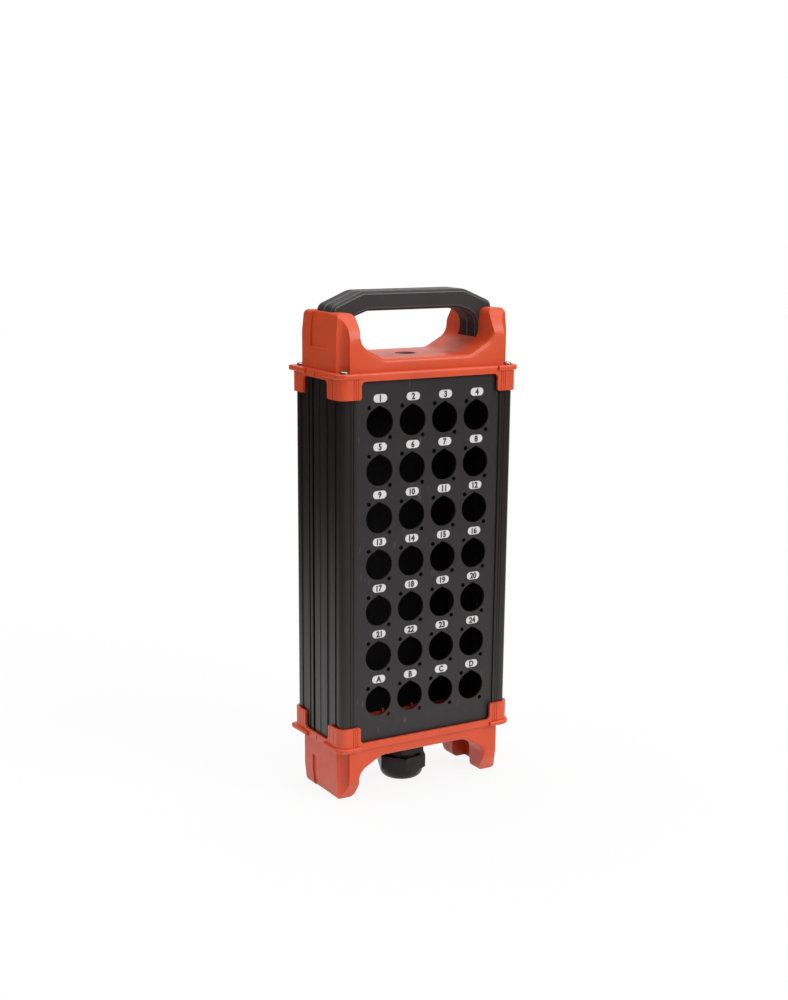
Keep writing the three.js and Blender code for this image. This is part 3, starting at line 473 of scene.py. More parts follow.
def turned(profile, sides=ROUND_SIDES, hollow=False):
    """A solid of revolution from (radius, z) pairs, from axis to axis, or a closed loop where hollow."""
    rings = [level_ring((0, 0), max(radius, AXIS_RADIUS), z, sides) for radius, z in profile]
    return solid_from("turned", rings, closed_ends=not hollow)


def combine(body, tool, operation):
    """Cuts, joins or intersects two closed solids. The result stays in the first."""
    modifier = body.modifiers.new("Combine", "BOOLEAN")
    modifier.operation = operation
    modifier.solver = "MANIFOLD"
    modifier.object = tool
    graph = bpy.context.evaluated_depsgraph_get()
    mesh = bpy.data.meshes.new_from_object(body.evaluated_get(graph))
    body.modifiers.clear()
    body.data = mesh
    bpy.data.objects.remove(tool)
    return body


def cut(body, *tools):
    for tool in tools:
        combine(body, tool, "DIFFERENCE")
    return body


def join(body, *others):
    for other in others:
        combine(body, other, "UNION")
    return body


def common(body, other):
    return combine(body, other, "INTERSECT")


def at_corners(make):
    return [make(side_x, side_y) for side_x in BOTH_SIDES for side_y in BOTH_SIDES]


def move(body, matrix):
    body.data.transform(matrix)
    return body


SHARP_ANGLE = math.radians(32)
FLAT_ANGLE = math.radians(0.5)
WELD_DISTANCE = 2e-6


def weigh_outward_edges(mesh):
    """Gives every sharp edge that points outwards the full bevel weight, and the others none."""
    shape = bmesh.new()
    shape.from_mesh(mesh)
    weight = shape.edges.layers.float.new("bevel_weight_edge")
    for edge in shape.edges:
        if edge.is_manifold and edge.is_convex and edge.calc_face_angle() > SHARP_ANGLE:
            edge[weight] = 1.0
    shape.to_mesh(mesh)
    shape.free()


def finish_piece(body, name, material, slot, edge=0.0, rides="housing", nodes=(), highlight_finish=None):
    """Names a finished solid, rounds and smooths its edges, and puts it on its body of the frame.

    With a highlight finish, only the outward edges are rounded, and that paler finish on the rounding is a
    painted highlight along the edges.
    """
    body.name = body.data.name = name
    shape = bmesh.new()
    shape.from_mesh(body.data)
    bmesh.ops.remove_doubles(shape, verts=shape.verts, dist=WELD_DISTANCE)
    bmesh.ops.dissolve_limit(shape, angle_limit=FLAT_ANGLE, verts=shape.verts, edges=shape.edges)
    shape.to_mesh(body.data)
    shape.free()
    body.data.materials.clear()
    body.data.materials.append(material)
    for polygon in body.data.polygons:
        polygon.use_smooth = True
    body.data.set_sharp_from_angle(angle=SHARP_ANGLE)
    if edge:
        bevel = body.modifiers.new("Rounded edges", "BEVEL")
        bevel.width = edge
        bevel.segments = 2
        # The outward edges' bevel strips take the second finish, a painted highlight along the edges.
        if highlight_finish:
            body.data.materials.append(highlight_finish)
            weigh_outward_edges(body.data)
            bevel.limit_method = "WEIGHT"
            bevel.material = 1
        else:
            bevel.limit_method = "ANGLE"
            bevel.angle_limit = SHARP_ANGLE
        bevel.harden_normals = True
        bevel.miter_outer = "MITER_ARC"
    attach(body, rides)
    if nodes:
        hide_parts(*nodes)
    return body


# Geometry node trees
GRID_INPUTS = {"Columns": "Int", "Rows": "Int", "Column pitch": "Float", "Row pitch": "Float"}
PLATE_END_STEPS = 10


def node_tree(name, inputs):
    """An empty geometry tree with one geometry output, and named inputs with the kinds of their sockets."""
    tree = bpy.data.node_groups.new(name, "GeometryNodeTree")
    tree.interface.new_socket("Geometry", in_out="OUTPUT", socket_type="NodeSocketGeometry")
    for label, kind in inputs.items():
        tree.interface.new_socket(label, in_out="INPUT", socket_type="NodeSocket" + kind)
    return tree, tree.nodes.new("NodeGroupInput").outputs


def add_node(tree, kind, values=None, **settings_of_node):
    """Adds a node. A value is a socket to link from, a list of them, or what the socket is set to."""
    node = tree.nodes.new(kind)
    for key, value in settings_of_node.items():
        setattr(node, key, value)
    for key, value in (values or {}).items():
        for source in value if isinstance(value, list) else [value]:
            if isinstance(source, bpy.types.NodeSocket):
                tree.links.new(source, node.inputs[key])
            else:
                node.inputs[key].default_value = source
    return node


def result(tree, kind, values=None, **settings_of_node):
    """The first output of a node that is added."""
    return add_node(tree, kind, values, **settings_of_node).outputs[0]


def finish_tree(tree, geometry, material):
    """Ends a tree in Realize Instances and Set Material."""
    real = result(tree, "GeometryNodeRealizeInstances", {"Geometry": geometry})
    painted = result(tree, "GeometryNodeSetMaterial", {"Geometry": real, "Material": material})
    tree.links.new(painted, tree.nodes.new("NodeGroupOutput").inputs[0])


def grown(name, tree, values):
    """A plain mesh made by a tree, with its inputs set by the sockets' identifiers."""
    made = new_object(name, bpy.data.meshes.new(name))
    modifier = made.modifiers.new("Pattern", "NODES")
    modifier.node_group = tree
    for item in tree.interface.items_tree:
        if item.in_out == "INPUT" and item.name in values:
            modifier[item.identifier] = values[item.name]
    made.update_tag()
    graph = bpy.context.evaluated_depsgraph_get()
    mesh = bpy.data.meshes.new_from_object(made.evaluated_get(graph))
    made.modifiers.clear()
    made.data = mesh
    return made


def maths(tree, operation, first, second):
    return result(tree, "ShaderNodeMath", {0: first, 1: second}, operation=operation)


def negative(tree, value):
    return maths(tree, "MULTIPLY", value, -1.0)


def vector(tree, x=0.0, y=0.0, z=0.0):
    return result(tree, "ShaderNodeCombineXYZ", {"X": x, "Y": y, "Z": z})


def grid_of_points(tree, columns, rows, column_pitch, row_pitch):
    """Points on a grid round the origin of the XY plane."""
    width, depth = (
        maths(tree, "MULTIPLY", maths(tree, "SUBTRACT", number, 1.0), pitch)
        for number, pitch in ((columns, column_pitch), (rows, row_pitch))
    )
    sizes = {"Size X": width, "Size Y": depth, "Vertices X": columns, "Vertices Y": rows}
    return result(tree, "GeometryNodeMeshGrid", sizes)


def rectangle_curve(tree, given):
    size = {side: given[side] for side in ("Width", "Height")}
    return result(tree, "GeometryNodeCurvePrimitiveQuadrilateral", size)


def sheet_of(tree, curves, thickness):
    """A closed sheet from flat curves, holes left open, from zero up to its thickness."""
    face = result(tree, "GeometryNodeFillCurve", {"Curve": curves})
    lift = {"Mesh": face, "Offset Scale": thickness, "Individual": False}
    raised = result(tree, "GeometryNodeExtrudeMesh", lift)
    below = result(tree, "GeometryNodeFlipFaces", {"Mesh": face})
    both = result(tree, "GeometryNodeJoinGeometry", {"Geometry": [raised, below]})
    return result(tree, "GeometryNodeMergeByDistance", {"Geometry": both, "Distance": POINTS_MEET})


def perforated_sheet_tree():
    """A sheet with a grid of cut-outs, each with two fixing holes on one diagonal."""
    sizes = ("Width", "Height", "Thickness", "Grid drop")
    fixings = ("Fixing spread across", "Fixing spread up", "Fixing radius")
    lengths = dict.fromkeys((*sizes, *fixings), "Float")
    tree, given = node_tree(
        "Perforated sheet", {**GRID_INPUTS, **lengths, "Cut-out": "Object", "Material": "Material"}
    )
    cutout = add_node(tree, "GeometryNodeObjectInfo", {"Object": given["Cut-out"]}).outputs["Geometry"]
    across, up, radius = (given[label] for label in fixings)
    size = {"Radius": radius, "Resolution": FIXING_SIDES}
    circle = result(tree, "GeometryNodeCurvePrimitiveCircle", size)
    holes = [
        result(tree, "GeometryNodeTransform", {"Geometry": circle, "Translation": to})
        for to in (vector(tree, negative(tree, across), up), vector(tree, across, negative(tree, up)))
    ]
    pattern = result(tree, "GeometryNodeJoinGeometry", {"Geometry": [cutout, *holes]})
    points = grid_of_points(tree, *(given[label] for label in GRID_INPUTS))
    down = vector(tree, y=negative(tree, given["Grid drop"]))
    lowered = result(tree, "GeometryNodeTransform", {"Geometry": points, "Translation": down})
    copies = result(tree, "GeometryNodeInstanceOnPoints", {"Points": lowered, "Instance": pattern})
    real = result(tree, "GeometryNodeRealizeInstances", {"Geometry": copies})
    curves = result(tree, "GeometryNodeJoinGeometry", {"Geometry": [rectangle_curve(tree, given), real]})
    finish_tree(tree, sheet_of(tree, curves, given["Thickness"]), given["Material"])
    return tree


def number_plate_tree():
    """A grid of thin plates with round ends."""
    lengths = dict.fromkeys(("Width", "Height", "Thickness", "End roundness"), "Float")
    tree, given = node_tree("Number plates", {**GRID_INPUTS, **lengths, "Material": "Material"})
    rounding = {
        "Curve": rectangle_curve(tree, given),
        "Radius": maths(tree, "MULTIPLY", given["Height"], given["End roundness"]),
        "Limit Radius": True,
        "Count": PLATE_END_STEPS,
    }
    round_ends = result(tree, "GeometryNodeFilletCurve", rounding, mode="POLY")
    plate = sheet_of(tree, round_ends, given["Thickness"])
    points = grid_of_points(tree, *(given[label] for label in GRID_INPUTS))
    copies = result(tree, "GeometryNodeInstanceOnPoints", {"Points": points, "Instance": plate})
    finish_tree(tree, copies, given["Material"])
    return tree


def corner_screw_tree():
    """A screw at each of four corners, each turned by chance round its own axis."""
    spacings = dict.fromkeys(("Spacing across", "Spacing deep"), "Float")
    tree, given = node_tree(
        "Corner screws", {"Screw": "Object", **spacings, "Seed": "Int", "Material": "Material"}
    )
    points = grid_of_points(tree, 2, 2, *(given[label] for label in spacings))
    screw = add_node(tree, "GeometryNodeObjectInfo", {"Object": given["Screw"]}).outputs["Geometry"]
    span = {"Max": FULL_TURN, "Seed": given["Seed"]}
    chance = add_node(tree, "FunctionNodeRandomValue", span, data_type="FLOAT")
    turn = vector(tree, z=next(socket for socket in chance.outputs if socket.enabled))
    spread = {"Points": points, "Instance": screw, "Rotation": turn}
    finish_tree(tree, result(tree, "GeometryNodeInstanceOnPoints", spread), given["Material"])
    return tree


# Finishes
NOISE_SPAN = (0.3, 0.7)  # where most of a noise's values lie
MOTTLE_NOISE = (34.0, 4.0)  # scale and detail, as for the other noises
GLOSS_NOISE = (160.0, 3.0)
GLOSS_SWING_SHARE = 0.12
GRAIN_DETAIL = 2.0
SCRATCH_NOISE = (900.0, 0.0)
SCRATCH_TURN = (0.3, 0.5, 0.2)
SCRATCH_STRETCH = (1.0, 1.0, 0.12)
SCRATCH_SPREAD_NOISE = (60.0, 1.0)
SCRATCH_SPAN = (0.47, 0.52)


def noise(tree, where, scale, detail):
    return result(tree, "ShaderNodeTexNoise", {"Vector": where, "Scale": scale, "Detail": detail})


def ranged(tree, value, span, to, **settings_of_node):
    """A value brought from one span to another."""
    limits = dict(zip(("From Min", "From Max", "To Min", "To Max"), (*span, *to)))
    return result(tree, "ShaderNodeMapRange", {"Value": value, **limits}, **settings_of_node)


def scratches(tree, where, strength):
    """A few hair-fine slanting lines, where a wide noise lets a fine stretched one show."""
    slant = {"Vector": where, "Rotation": SCRATCH_TURN, "Scale": SCRATCH_STRETCH}
    lines = noise(tree, result(tree, "ShaderNodeMapping", slant), *SCRATCH_NOISE)
    spread = noise(tree, where, *SCRATCH_SPREAD_NOISE)
    return ranged(tree, maths(tree, "MULTIPLY", lines, spread), SCRATCH_SPAN, (0.0, strength))


def surface(name, colour, roughness, grain, mottle, specular=0.5, metallic=0.0, streak=1.0, scuffs=0.0):
    """A procedural finish: slow colour mottle, uneven roughness and a fine grain, on object coordinates.

    grain is (size, height) of the bumps in metres; streak stretches the pattern along the Z axis; scuffs is
    how much paler the few hair-fine scratches are.
    """
    material = bpy.data.materials.new(name)
    material.use_nodes = True
    tree = material.node_tree
    shader = tree.nodes["Principled BSDF"]
    shader.inputs["Metallic"].default_value = metallic
    shader.inputs["Specular IOR Level"].default_value = specular
    where = add_node(tree, "ShaderNodeTexCoord").outputs["Object"]
    stretched = result(tree, "ShaderNodeMapping", {"Vector": where, "Scale": (1, 1, 1 / streak)})
    tint = ranged(tree, noise(tree, stretched, *MOTTLE_NOISE), NOISE_SPAN, (1 - mottle, 1 + mottle))
    painted = result(tree, "ShaderNodeVectorMath", {0: tuple(colour), "Scale": tint}, operation="SCALE")
    if scuffs:
        layers = {0: scratches(tree, where, scuffs), 1: painted}
        painted = result(tree, "ShaderNodeVectorMath", layers, operation="ADD")
    swing = roughness * GLOSS_SWING_SHARE
    patches = noise(tree, stretched, *GLOSS_NOISE)
    gloss = ranged(tree, patches, NOISE_SPAN, (roughness - swing, roughness + swing))
    size, height = grain
    fine = noise(tree, stretched, 1 / size, GRAIN_DETAIL)
    bumps = result(tree, "ShaderNodeBump", {"Height": fine, "Strength": 1.0, "Distance": height})
    for label, source in (("Base Color", painted), ("Roughness", gloss), ("Normal", bumps)):
        tree.links.new(source, shader.inputs[label])
    return material


def finishes():
    """Every finish by name, made once."""
    if "Cap plastic" not in bpy.data.materials:
        colour = settings().colour
        surface("Cap plastic", colour.cap, 0.40, (0.0006, 0.00002), 0.04, specular=0.6)
        # The paler edge finish is a painted highlight on the outward edges of the caps.
        surface("Cap painted edge highlight", colour.cap_edge_highlight, 0.36, (0.0006, 0.00002), 0.12, specular=0.6)
        surface("Panel coat", colour.panel, 0.5, (0.0004, 0.00002), 0.1, specular=0.55, scuffs=0.035)
        # The inner faces are darker than the coat: painted shade inside the box.
        surface("Inner painted shade", colour.inner, 0.7, (0.0005, 0.00002), 0.15, specular=0.15)
        surface("Profile finish", colour.profile, 0.36, (0.0005, 0.000012), 0.15, streak=40)
        surface("Handle plastic", colour.handle, 0.52, (0.0005, 0.00003), 0.1, specular=0.25)
        # The paler edge finish is a painted highlight on the outward edges of the handle.
        surface("Handle painted edge highlight", colour.handle_edge_highlight, 0.36, (0.0005, 0.00003), 0.25)
        surface("Gland plastic", colour.gland, 0.34, (0.0007, 0.00002), 0.1, specular=0.28)
        surface("Black rubber", colour.rubber, 0.75, (0.0005, 0.00003), 0.1, specular=0.3)
        surface("Plated steel", colour.steel, 0.28, (0.0003, 0.000006), 0.06, metallic=1.0)
        surface("Plate ink", colour.plate, 0.55, (0.0004, 0.00001), 0.05, specular=0.3)
        surface("Digit ink", colour.ink, 0.5, (0.0004, 0.00001), 0.05, specular=0.3)
    return bpy.data.materials


# Frame
def cap_face(name):
    """Height of a cap's rim face, from the cap's box in the frame."""
    low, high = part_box(name)
    tab = settings().cap.tab_length
    return low.z + tab if name == "top_cap" else high.z - tab


def profile_size():
    """Half width, half depth, low and high end of the profiles."""
    low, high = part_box("right_side_profile")
    return high.x, high.y, low.z, high.z


def screw_place():
    half_width, half_depth, _, _ = profile_size()
    cap = settings().cap
    return half_width - cap.screw_inset_x, half_depth - cap.screw_inset_y


def screw_hole_radius():
    screw = settings().screw
    return screw.shank_radius + screw.hole_clearance


# Panels
# Faces that look inwards get the darker inner colour, which paints the shade inside the box.
INWARD_COSINE = 0.9  # a face that looks inwards at least this straight has the inner finish


def grid_values(panel):
    """The tree inputs that the cut-outs and their plates share."""
    values = (panel.columns, panel.rows, panel.column_pitch, panel.row_pitch)
    return dict(zip(GRID_INPUTS, values))


class STAGEBOX_OT_panels(Operator):
    """Make the punched front panel and the plain rear panel"""

    bl_idname = "stagebox.panels"
    bl_label = "Panels"
    bl_options = {"REGISTER", "UNDO"}

    def execute(self, context):
        sizes = settings().panel
        coat, inner = finishes()["Panel coat"], finishes()["Inner painted shade"]
        for node, facing in (("front_panel", -1), ("rear_panel", 1)):
            low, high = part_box(node)
            plain = node == "rear_panel"
            panel = block(*zip(low, high)) if plain else self.punched_sheet(sizes, low, high, coat)
            finish_piece(panel, node + "_sheet", coat, "panel_sheet", sizes.edge, nodes=[node])
            # The inward faces take the darker colour: painted shade inside the box.
            panel.data.materials.append(inner)
            for face in panel.data.polygons:
                face.material_index = int(face.normal.y * facing < -INWARD_COSINE)
        return {"FINISHED"}

    def punched_sheet(self, sizes, low, high, coat):
        """A sheet with the cut-outs, standing between two corners of its box."""
        outline = self.cutout_curve(sizes)
        values = {
            **grid_values(sizes),
            "Width": high.x - low.x,
            "Height": high.z - low.z,
            "Thickness": high.y - low.y,
            "Grid drop": sizes.grid_drop,
            "Fixing spread across": sizes.fixing_spread_x,
            "Fixing spread up": sizes.fixing_spread_z,
            "Fixing radius": sizes.fixing_radius,
            "Cut-out": outline,
            "Material": coat,
        }
        panel = grown("punched_sheet", perforated_sheet_tree(), values)
        bpy.data.objects.remove(outline)
        middle = Vector(((low.x + high.x) / 2, high.y, (low.z + high.z) / 2))
        return move(panel, Matrix.Translation(middle) @ UPRIGHT)

    def cutout_curve(self, sizes):
        """One round cut-out whose top runs to a softened point."""
        shoulder = math.acos(sizes.cutout_radius / sizes.cutout_peak)
        sweep = FULL_TURN - 2 * shoulder
        steps = math.ceil(sweep / ARC_STEP)
        start = QUARTER_TURN + shoulder
        arc = [on_circle((0, 0), sizes.cutout_radius, start + sweep * i / steps) for i in range(steps + 1)]
        peak = (0.0, sizes.cutout_peak, sizes.peak_radius)
        points = arc[1:-1] + rounded([(arc[-1].x, arc[-1].y, 0.0), peak, (arc[0].x, arc[0].y, 0.0)])
        curve = bpy.data.curves.new("cutout", "CURVE")
        spline = curve.splines.new("POLY")
        spline.points.add(len(points) - 1)
        for at, point in zip(spline.points, points):
            at.co = (point.x, point.y, 0, 1)
        spline.use_cyclic_u = True
        return new_object("cutout", curve)


# Labels
DIGIT_WIDTH_SHARE = 0.92  # of the typeface's own width


class STAGEBOX_OT_labels(Operator):
    """Print the number plates over the cut-outs"""

    bl_idname = "stagebox.labels"
    bl_label = "Labels"
    bl_options = {"REGISTER", "UNDO"}

    def execute(self, context):
        sizes, panel = settings().label, settings().panel
        low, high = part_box("front_panel")
        middle = Vector((
            (low.x + high.x) / 2 + sizes.shift,
            low.y,
            (low.z + high.z) / 2 - panel.grid_drop + sizes.rise,
        ))
        plate_ink, digit_ink = finishes()["Plate ink"], finishes()["Digit ink"]
        values = {
            **grid_values(panel),
            "Width": sizes.width,
            "Height": sizes.height,
            "Thickness": sizes.ink,
            "End roundness": sizes.end_roundness,
            "Material": plate_ink,
        }
        plates = grown("number_plates", number_plate_tree(), values)
        move(plates, Matrix.Translation(middle) @ UPRIGHT)
        finish_piece(plates, "number_plates", plate_ink, "panel_sheet")
        digits = bmesh.new()
        for index in range(panel.columns * panel.rows):
            row, column = divmod(index, panel.columns)
            across = (column - (panel.columns - 1) / 2) * panel.column_pitch
            up = ((panel.rows - 1) / 2 - row) * panel.row_pitch
            at = middle + Vector((across, -sizes.ink, up))
            mesh = self.digit_mesh(self.label_text(index, panel), sizes)
            mesh.transform(Matrix.Translation(at) @ UPRIGHT)
            digits.from_mesh(mesh)
        mesh = bpy.data.meshes.new("number_digits")
        digits.to_mesh(mesh)
        digits.free()
        finish_piece(new_object("number_digits", mesh), "number_digits", digit_ink, "panel_sheet")
        return {"FINISHED"}

    def label_text(self, index, panel):
        """Numbers from 1, and letters from A in the last row."""
        numbers = panel.columns * (panel.rows - 1)
        return str(index + 1) if index < numbers else chr(ord("A") + index - numbers)

    def digit_mesh(self, text, sizes):
        """One label's letters as a thin mesh, centred on the origin."""
        curve = bpy.data.curves.new("digit", "FONT")
        curve.body = text
        curve.align_x = "CENTER"
        curve.extrude = 1 / 2  # a thickness of one, which the scale turns into one coat of ink
        curve.offset = sizes.boldness
        curve.resolution_u = 4
        holder = new_object("digit", curve)
        graph = bpy.context.evaluated_depsgraph_get()
        mesh = bpy.data.meshes.new_from_object(holder.evaluated_get(graph))
        bpy.data.objects.remove(holder)
        tops = [vertex.co.y for vertex in mesh.vertices]
        sides = [vertex.co.x for vertex in mesh.vertices]
        scale = sizes.digit_height / (max(tops) - min(tops))
        middle = (-(max(sides) + min(sides)) / 2, -(max(tops) + min(tops)) / 2, curve.extrude)
        size = Matrix.Diagonal((scale * DIGIT_WIDTH_SHARE, scale, sizes.ink, 1))
        mesh.transform(size @ Matrix.Translation(middle))
        return mesh


# Side profiles
SIDE_GROOVE_SHARES = (
    (-0.783, 0.11, 0.28),
    (-0.457, 0.15, 0.3),
    (-0.094, 0.042, 0.14),
    (0.371, 0.055, 0.4),
    (0.68, 0.13, 0.24),
)
LIP_GROOVE_SHARES = ((0.866, 0.009, 0.15), (0.894, 0.009, 0.15))


class STAGEBOX_OT_profiles(Operator):
    """Make the two extruded side profiles"""

    bl_idname = "stagebox.profiles"
    bl_label = "Side profiles"
    bl_options = {"REGISTER", "UNDO"}

    def execute(self, context):
        finish, edge = finishes()["Profile finish"], settings().profile.edge
        for side, node in zip(BOTH_SIDES, ("left_side_profile", "right_side_profile")):
            profile = self.section()
            if side < 0:
                move(profile, Matrix.Scale(-1, 4, (1, 0, 0)))
                profile.data.flip_normals()
            name = node.replace("_profile", "_extrusion")
            finish_piece(profile, name, finish, "profile_metal", edge, nodes=[node])
        return {"FINISHED"}

    def section(self):
        """The right profile."""
        sizes = settings().profile
        half_width, half_depth, low, high = profile_size()
        lip_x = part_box("right_side_profile")[0].x
        panel_low, panel_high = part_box("rear_panel")
        cavity_y = panel_low.y - sizes.panel_clearance - sizes.slot_rib
        span = (low, high)
        through = beyond(span)
        corners = [
            (lip_x, -half_depth, 0.0),
            (half_width, -half_depth, sizes.corner_radius),
            (half_width, half_depth, sizes.corner_radius),
            (lip_x, half_depth, 0.0),
        ]
        cavity = [
            (lip_x - OVERRUN, -cavity_y, 0.0),
            (half_width - sizes.wall, -cavity_y, sizes.cavity_radius),
            (half_width - sizes.wall, cavity_y, sizes.cavity_radius),
            (lip_x - OVERRUN, cavity_y, 0.0),
        ]
        screw_x, screw_y = screw_place()
        hole = screw_hole_radius()

        def channels(radius, reach):
            return [post(screw_x, side * screw_y, radius, reach, CHANNEL_SIDES) for side in BOTH_SIDES]

        def seam(wall, reach):
            depth = half_width - sizes.seam_depth - wall
            half = sizes.seam_width / 2 + wall
            return block((depth, half_width + OVERRUN), around(sizes.seam_y, half), reach)

        past = beyond(through)
        room = prism(cavity, through)
        cut(room, *channels(hole + sizes.channel_wall, past), seam(sizes.seam_wall, past))
        body = cut(prism(corners, span), room, *channels(hole, through), seam(0, through))
        room_for_panel = (panel_low.y - sizes.panel_clearance, panel_high.y + sizes.panel_clearance)
        slot_x = (lip_x - OVERRUN, panel_high.x + sizes.panel_clearance)
        for side in BOTH_SIDES:
            cut(body, block(slot_x, on_side(side, *room_for_panel), through))
            for place_share, width_share, depth_share in LIP_GROOVE_SHARES:
                middle, half = place_share * half_width, width_share * half_width / 2
                reach = on_side(side, half_depth - depth_share * sizes.wall, half_depth + OVERRUN)
                cut(body, block(around(middle, half), reach, through))
        for place_share, width_share, depth_share in SIDE_GROOVE_SHARES:
            middle, half = place_share * half_depth, width_share * half_depth / 2
            reach = (half_width - depth_share * sizes.wall, half_width + OVERRUN)
            cut(body, block(reach, around(middle, half), through))
        return body


# End caps
class STAGEBOX_OT_caps(Operator):
    """Make the two end caps, which are one moulding used twice"""

    bl_idname = "stagebox.caps"
    bl_label = "End caps"
    bl_options = {"REGISTER", "UNDO"}

    def execute(self, context):
        sizes, gland = settings().cap, settings().gland
        # The second finish goes on the rounded outward edges as a painted highlight.
        plastic, edge_highlight = finishes()["Cap plastic"], finishes()["Cap painted edge highlight"]
        gland_hole_radius = gland.thread_radius + gland.thread_clearance
        for node, hole_radius, turn in (
            ("top_cap", sizes.deck_hole_radius, 0.0),
            ("bottom_cap", gland_hole_radius, HALF_TURN),
        ):
            body = self.cap(sizes, hole_radius)
            move(body, Matrix.Translation((0, 0, cap_face(node))) @ Matrix.Rotation(turn, 4, "Y"))
            finish_piece(
                body, node + "_moulding", plastic, "cap_plastic", sizes.edge, nodes=[node], highlight_finish=edge_highlight
            )
        self.deck_plug(sizes)
        return {"FINISHED"}

    def deck_plug(self, sizes):
        """The black plug that closes the hole in the top cap's deck."""
        high = cap_face("top_cap") + sizes.deck_height - sizes.plug_drop
        low = high - sizes.crown_wall
        radius = sizes.deck_hole_radius - sizes.clearance / 2
        rise = sizes.plug_drop / 2
        plug = turned([(0, low), (radius, low), (radius, high - rise), (radius - rise, high), (0, high)])
        finish_piece(plug, "deck_plug", finishes()["Black rubber"], "seal_rubber", sizes.plug_edge)

    def tower_height(self):
        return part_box("top_cap")[1].z - cap_face("top_cap")

    def lengthwise_corners(self, sizes, base):
        return mirrored([
            (sizes.crown_half_width, base, 0.0),
            (sizes.crown_half_width, sizes.lean_height, 0.0),
            (sizes.tower_tip_x, self.tower_height(), sizes.tower_tip_radius),
            (sizes.tower_inner_x, self.tower_height(), sizes.tower_inner_radius),
            (sizes.sweep_x, sizes.sweep_height, sizes.sweep_radius),
            (sizes.deck_half_length, sizes.deck_height, sizes.deck_radius),
        ])

    def crown(self, sizes, wall, base, edge, end_edge):
        """The deck, the sweeps and the towers, or their hollow where there is a wall."""
        half_depth, half_width = sizes.crown_half_depth - wall, sizes.crown_half_width - wall
        section = [
            (-sizes.crown_half_depth, base, 0.0),
            (sizes.crown_half_depth, base, 0.0),
            (sizes.crown_half_depth, sizes.taper_height, sizes.tower_side_radius),
            (sizes.tip_half_depth, self.tower_height(), sizes.tower_crest_radius),
            (-sizes.tip_half_depth, self.tower_height(), sizes.tower_crest_radius),
            (-sizes.crown_half_depth, sizes.taper_height, sizes.tower_side_radius),
        ]
        long_corners = inset(self.lengthwise_corners(sizes, base), wall)
        lengthwise = prism(long_corners, (-half_depth, half_depth), "Y", edge, edge)
        across = prism(inset(section, wall), (-half_width, half_width), "X", end_edge, end_edge)
        body = common(lengthwise, across)
        screw_x, screw_y = screw_place()
        low = base if wall else 0.0
        flutes = at_corners(
            lambda side_x, side_y: post(
                side_x * (screw_x + sizes.flute_shift_x),
                side_y * (screw_y - sizes.flute_shift_y),
                sizes.flute_radius + wall,
                (low, self.tower_height() + OVERRUN),
            )
        )
        return cut(body, *flutes)

    def rim(self, sizes):
        half_width, half_depth, _, _ = profile_size()
        room_x, room_y = half_width + sizes.clearance, half_depth + sizes.clearance
        room_radius = settings().profile.corner_radius + sizes.clearance
        outer_x, outer_y = room_x + sizes.rim_wall, room_y + sizes.rim_wall
        outer = prism(
            rectangle(around(0, outer_x), around(0, outer_y), room_radius + sizes.rim_wall),
            (-sizes.tab_length, 0.0),
            high_edge=sizes.rim_edge,
        )

        def gap(half, reach, axis):
            wide = half + 2 * sizes.tab_corner_radius
            half_corners = [
                (wide, -sizes.tab_length - OVERRUN, 0.0),
                (wide, -sizes.tab_length, 0.0),
                (half, -sizes.tab_length, sizes.tab_corner_radius),
                (half, -sizes.rim_height, sizes.tab_gap_radius),
            ]
            return prism(mirrored(half_corners), reach, axis)

        ear_x, ear_y = outer_x + sizes.ear_reach_x, outer_y + sizes.ear_reach_y
        wide, deep = beyond(around(0, ear_x)), beyond(around(0, ear_y))
        thick = (-sizes.ear_thickness, 0.0)
        ears = prism(
            [
                (-ear_x, -ear_y, sizes.ear_radius),
                (ear_x, -ear_y, sizes.ear_radius),
                (ear_x, ear_y, sizes.ear_rear_radius),
                (-ear_x, ear_y, sizes.ear_rear_radius),
            ],
            thick,
            low_edge=sizes.ear_edge,
            high_edge=sizes.ear_edge,
        )
        cut(
            ears,
            block(around(0, sizes.tab_inner_x), deep, beyond(thick)),
            block(wide, around(0, sizes.ear_inner_y), beyond(thick)),
        )
        cut(outer, gap(sizes.tab_inner_x, deep, "Y"), gap(sizes.tab_inner_y, wide, "X"))
        cut(outer, *self.tab_grooves(sizes, outer_x, outer_y), *self.rim_notches(sizes, outer_x))
        join(outer, ears)
        room = prism(
            rectangle(around(0, room_x), around(0, room_y), room_radius),
            (-sizes.tab_length - OVERRUN, -sizes.plate_thickness),
        )
        return cut(outer, room)

    def tab_grooves(self, sizes, outer_x, outer_y):
        """Fine upright grooves on both outer faces of the tabs."""
        low, high = -sizes.tab_length - OVERRUN, -sizes.ear_thickness
        half, depth = sizes.tab_groove_width / 2, sizes.tab_groove_depth
        grooves = []
        for side_x in BOTH_SIDES:
            for side_y in BOTH_SIDES:
                for i in range(sizes.tab_grooves):
                    inset_x = sizes.tab_groove_inset + i * sizes.tab_groove_pitch
                    middle = side_x * (sizes.tab_inner_x + inset_x)
                    reach = on_side(side_y, outer_y - depth, outer_y + OVERRUN)
                    grooves.append(block(around(middle, half), reach, (low, high)))
                for i in range(sizes.end_grooves):
                    middle = side_y * (sizes.end_groove_y + i * sizes.end_groove_pitch)
                    reach = on_side(side_x, outer_x - depth, outer_x + OVERRUN)
                    grooves.append(block(reach, around(middle, half), (low, high)))
        return grooves

    def rim_notches(self, sizes, outer_x):
        return [
            block(
                on_side(side, outer_x - sizes.notch_depth, outer_x + OVERRUN),
                around(0, sizes.notch_width / 2),
                (-sizes.notch_height, OVERRUN),
            )
            for side in BOTH_SIDES
        ]

    def pocket(self, sizes, side, wall):
        handle = settings().handle
        half_depth = handle.half_depth + sizes.pocket_clearance + wall
        near = handle.leg_inner_x - sizes.pocket_clearance - wall
        far = handle.end_x + sizes.pocket_clearance + wall
        return block(
            on_side(side, near, far),
            around(0, half_depth),
            (sizes.pocket_floor - wall, self.tower_height() + OVERRUN),
        )

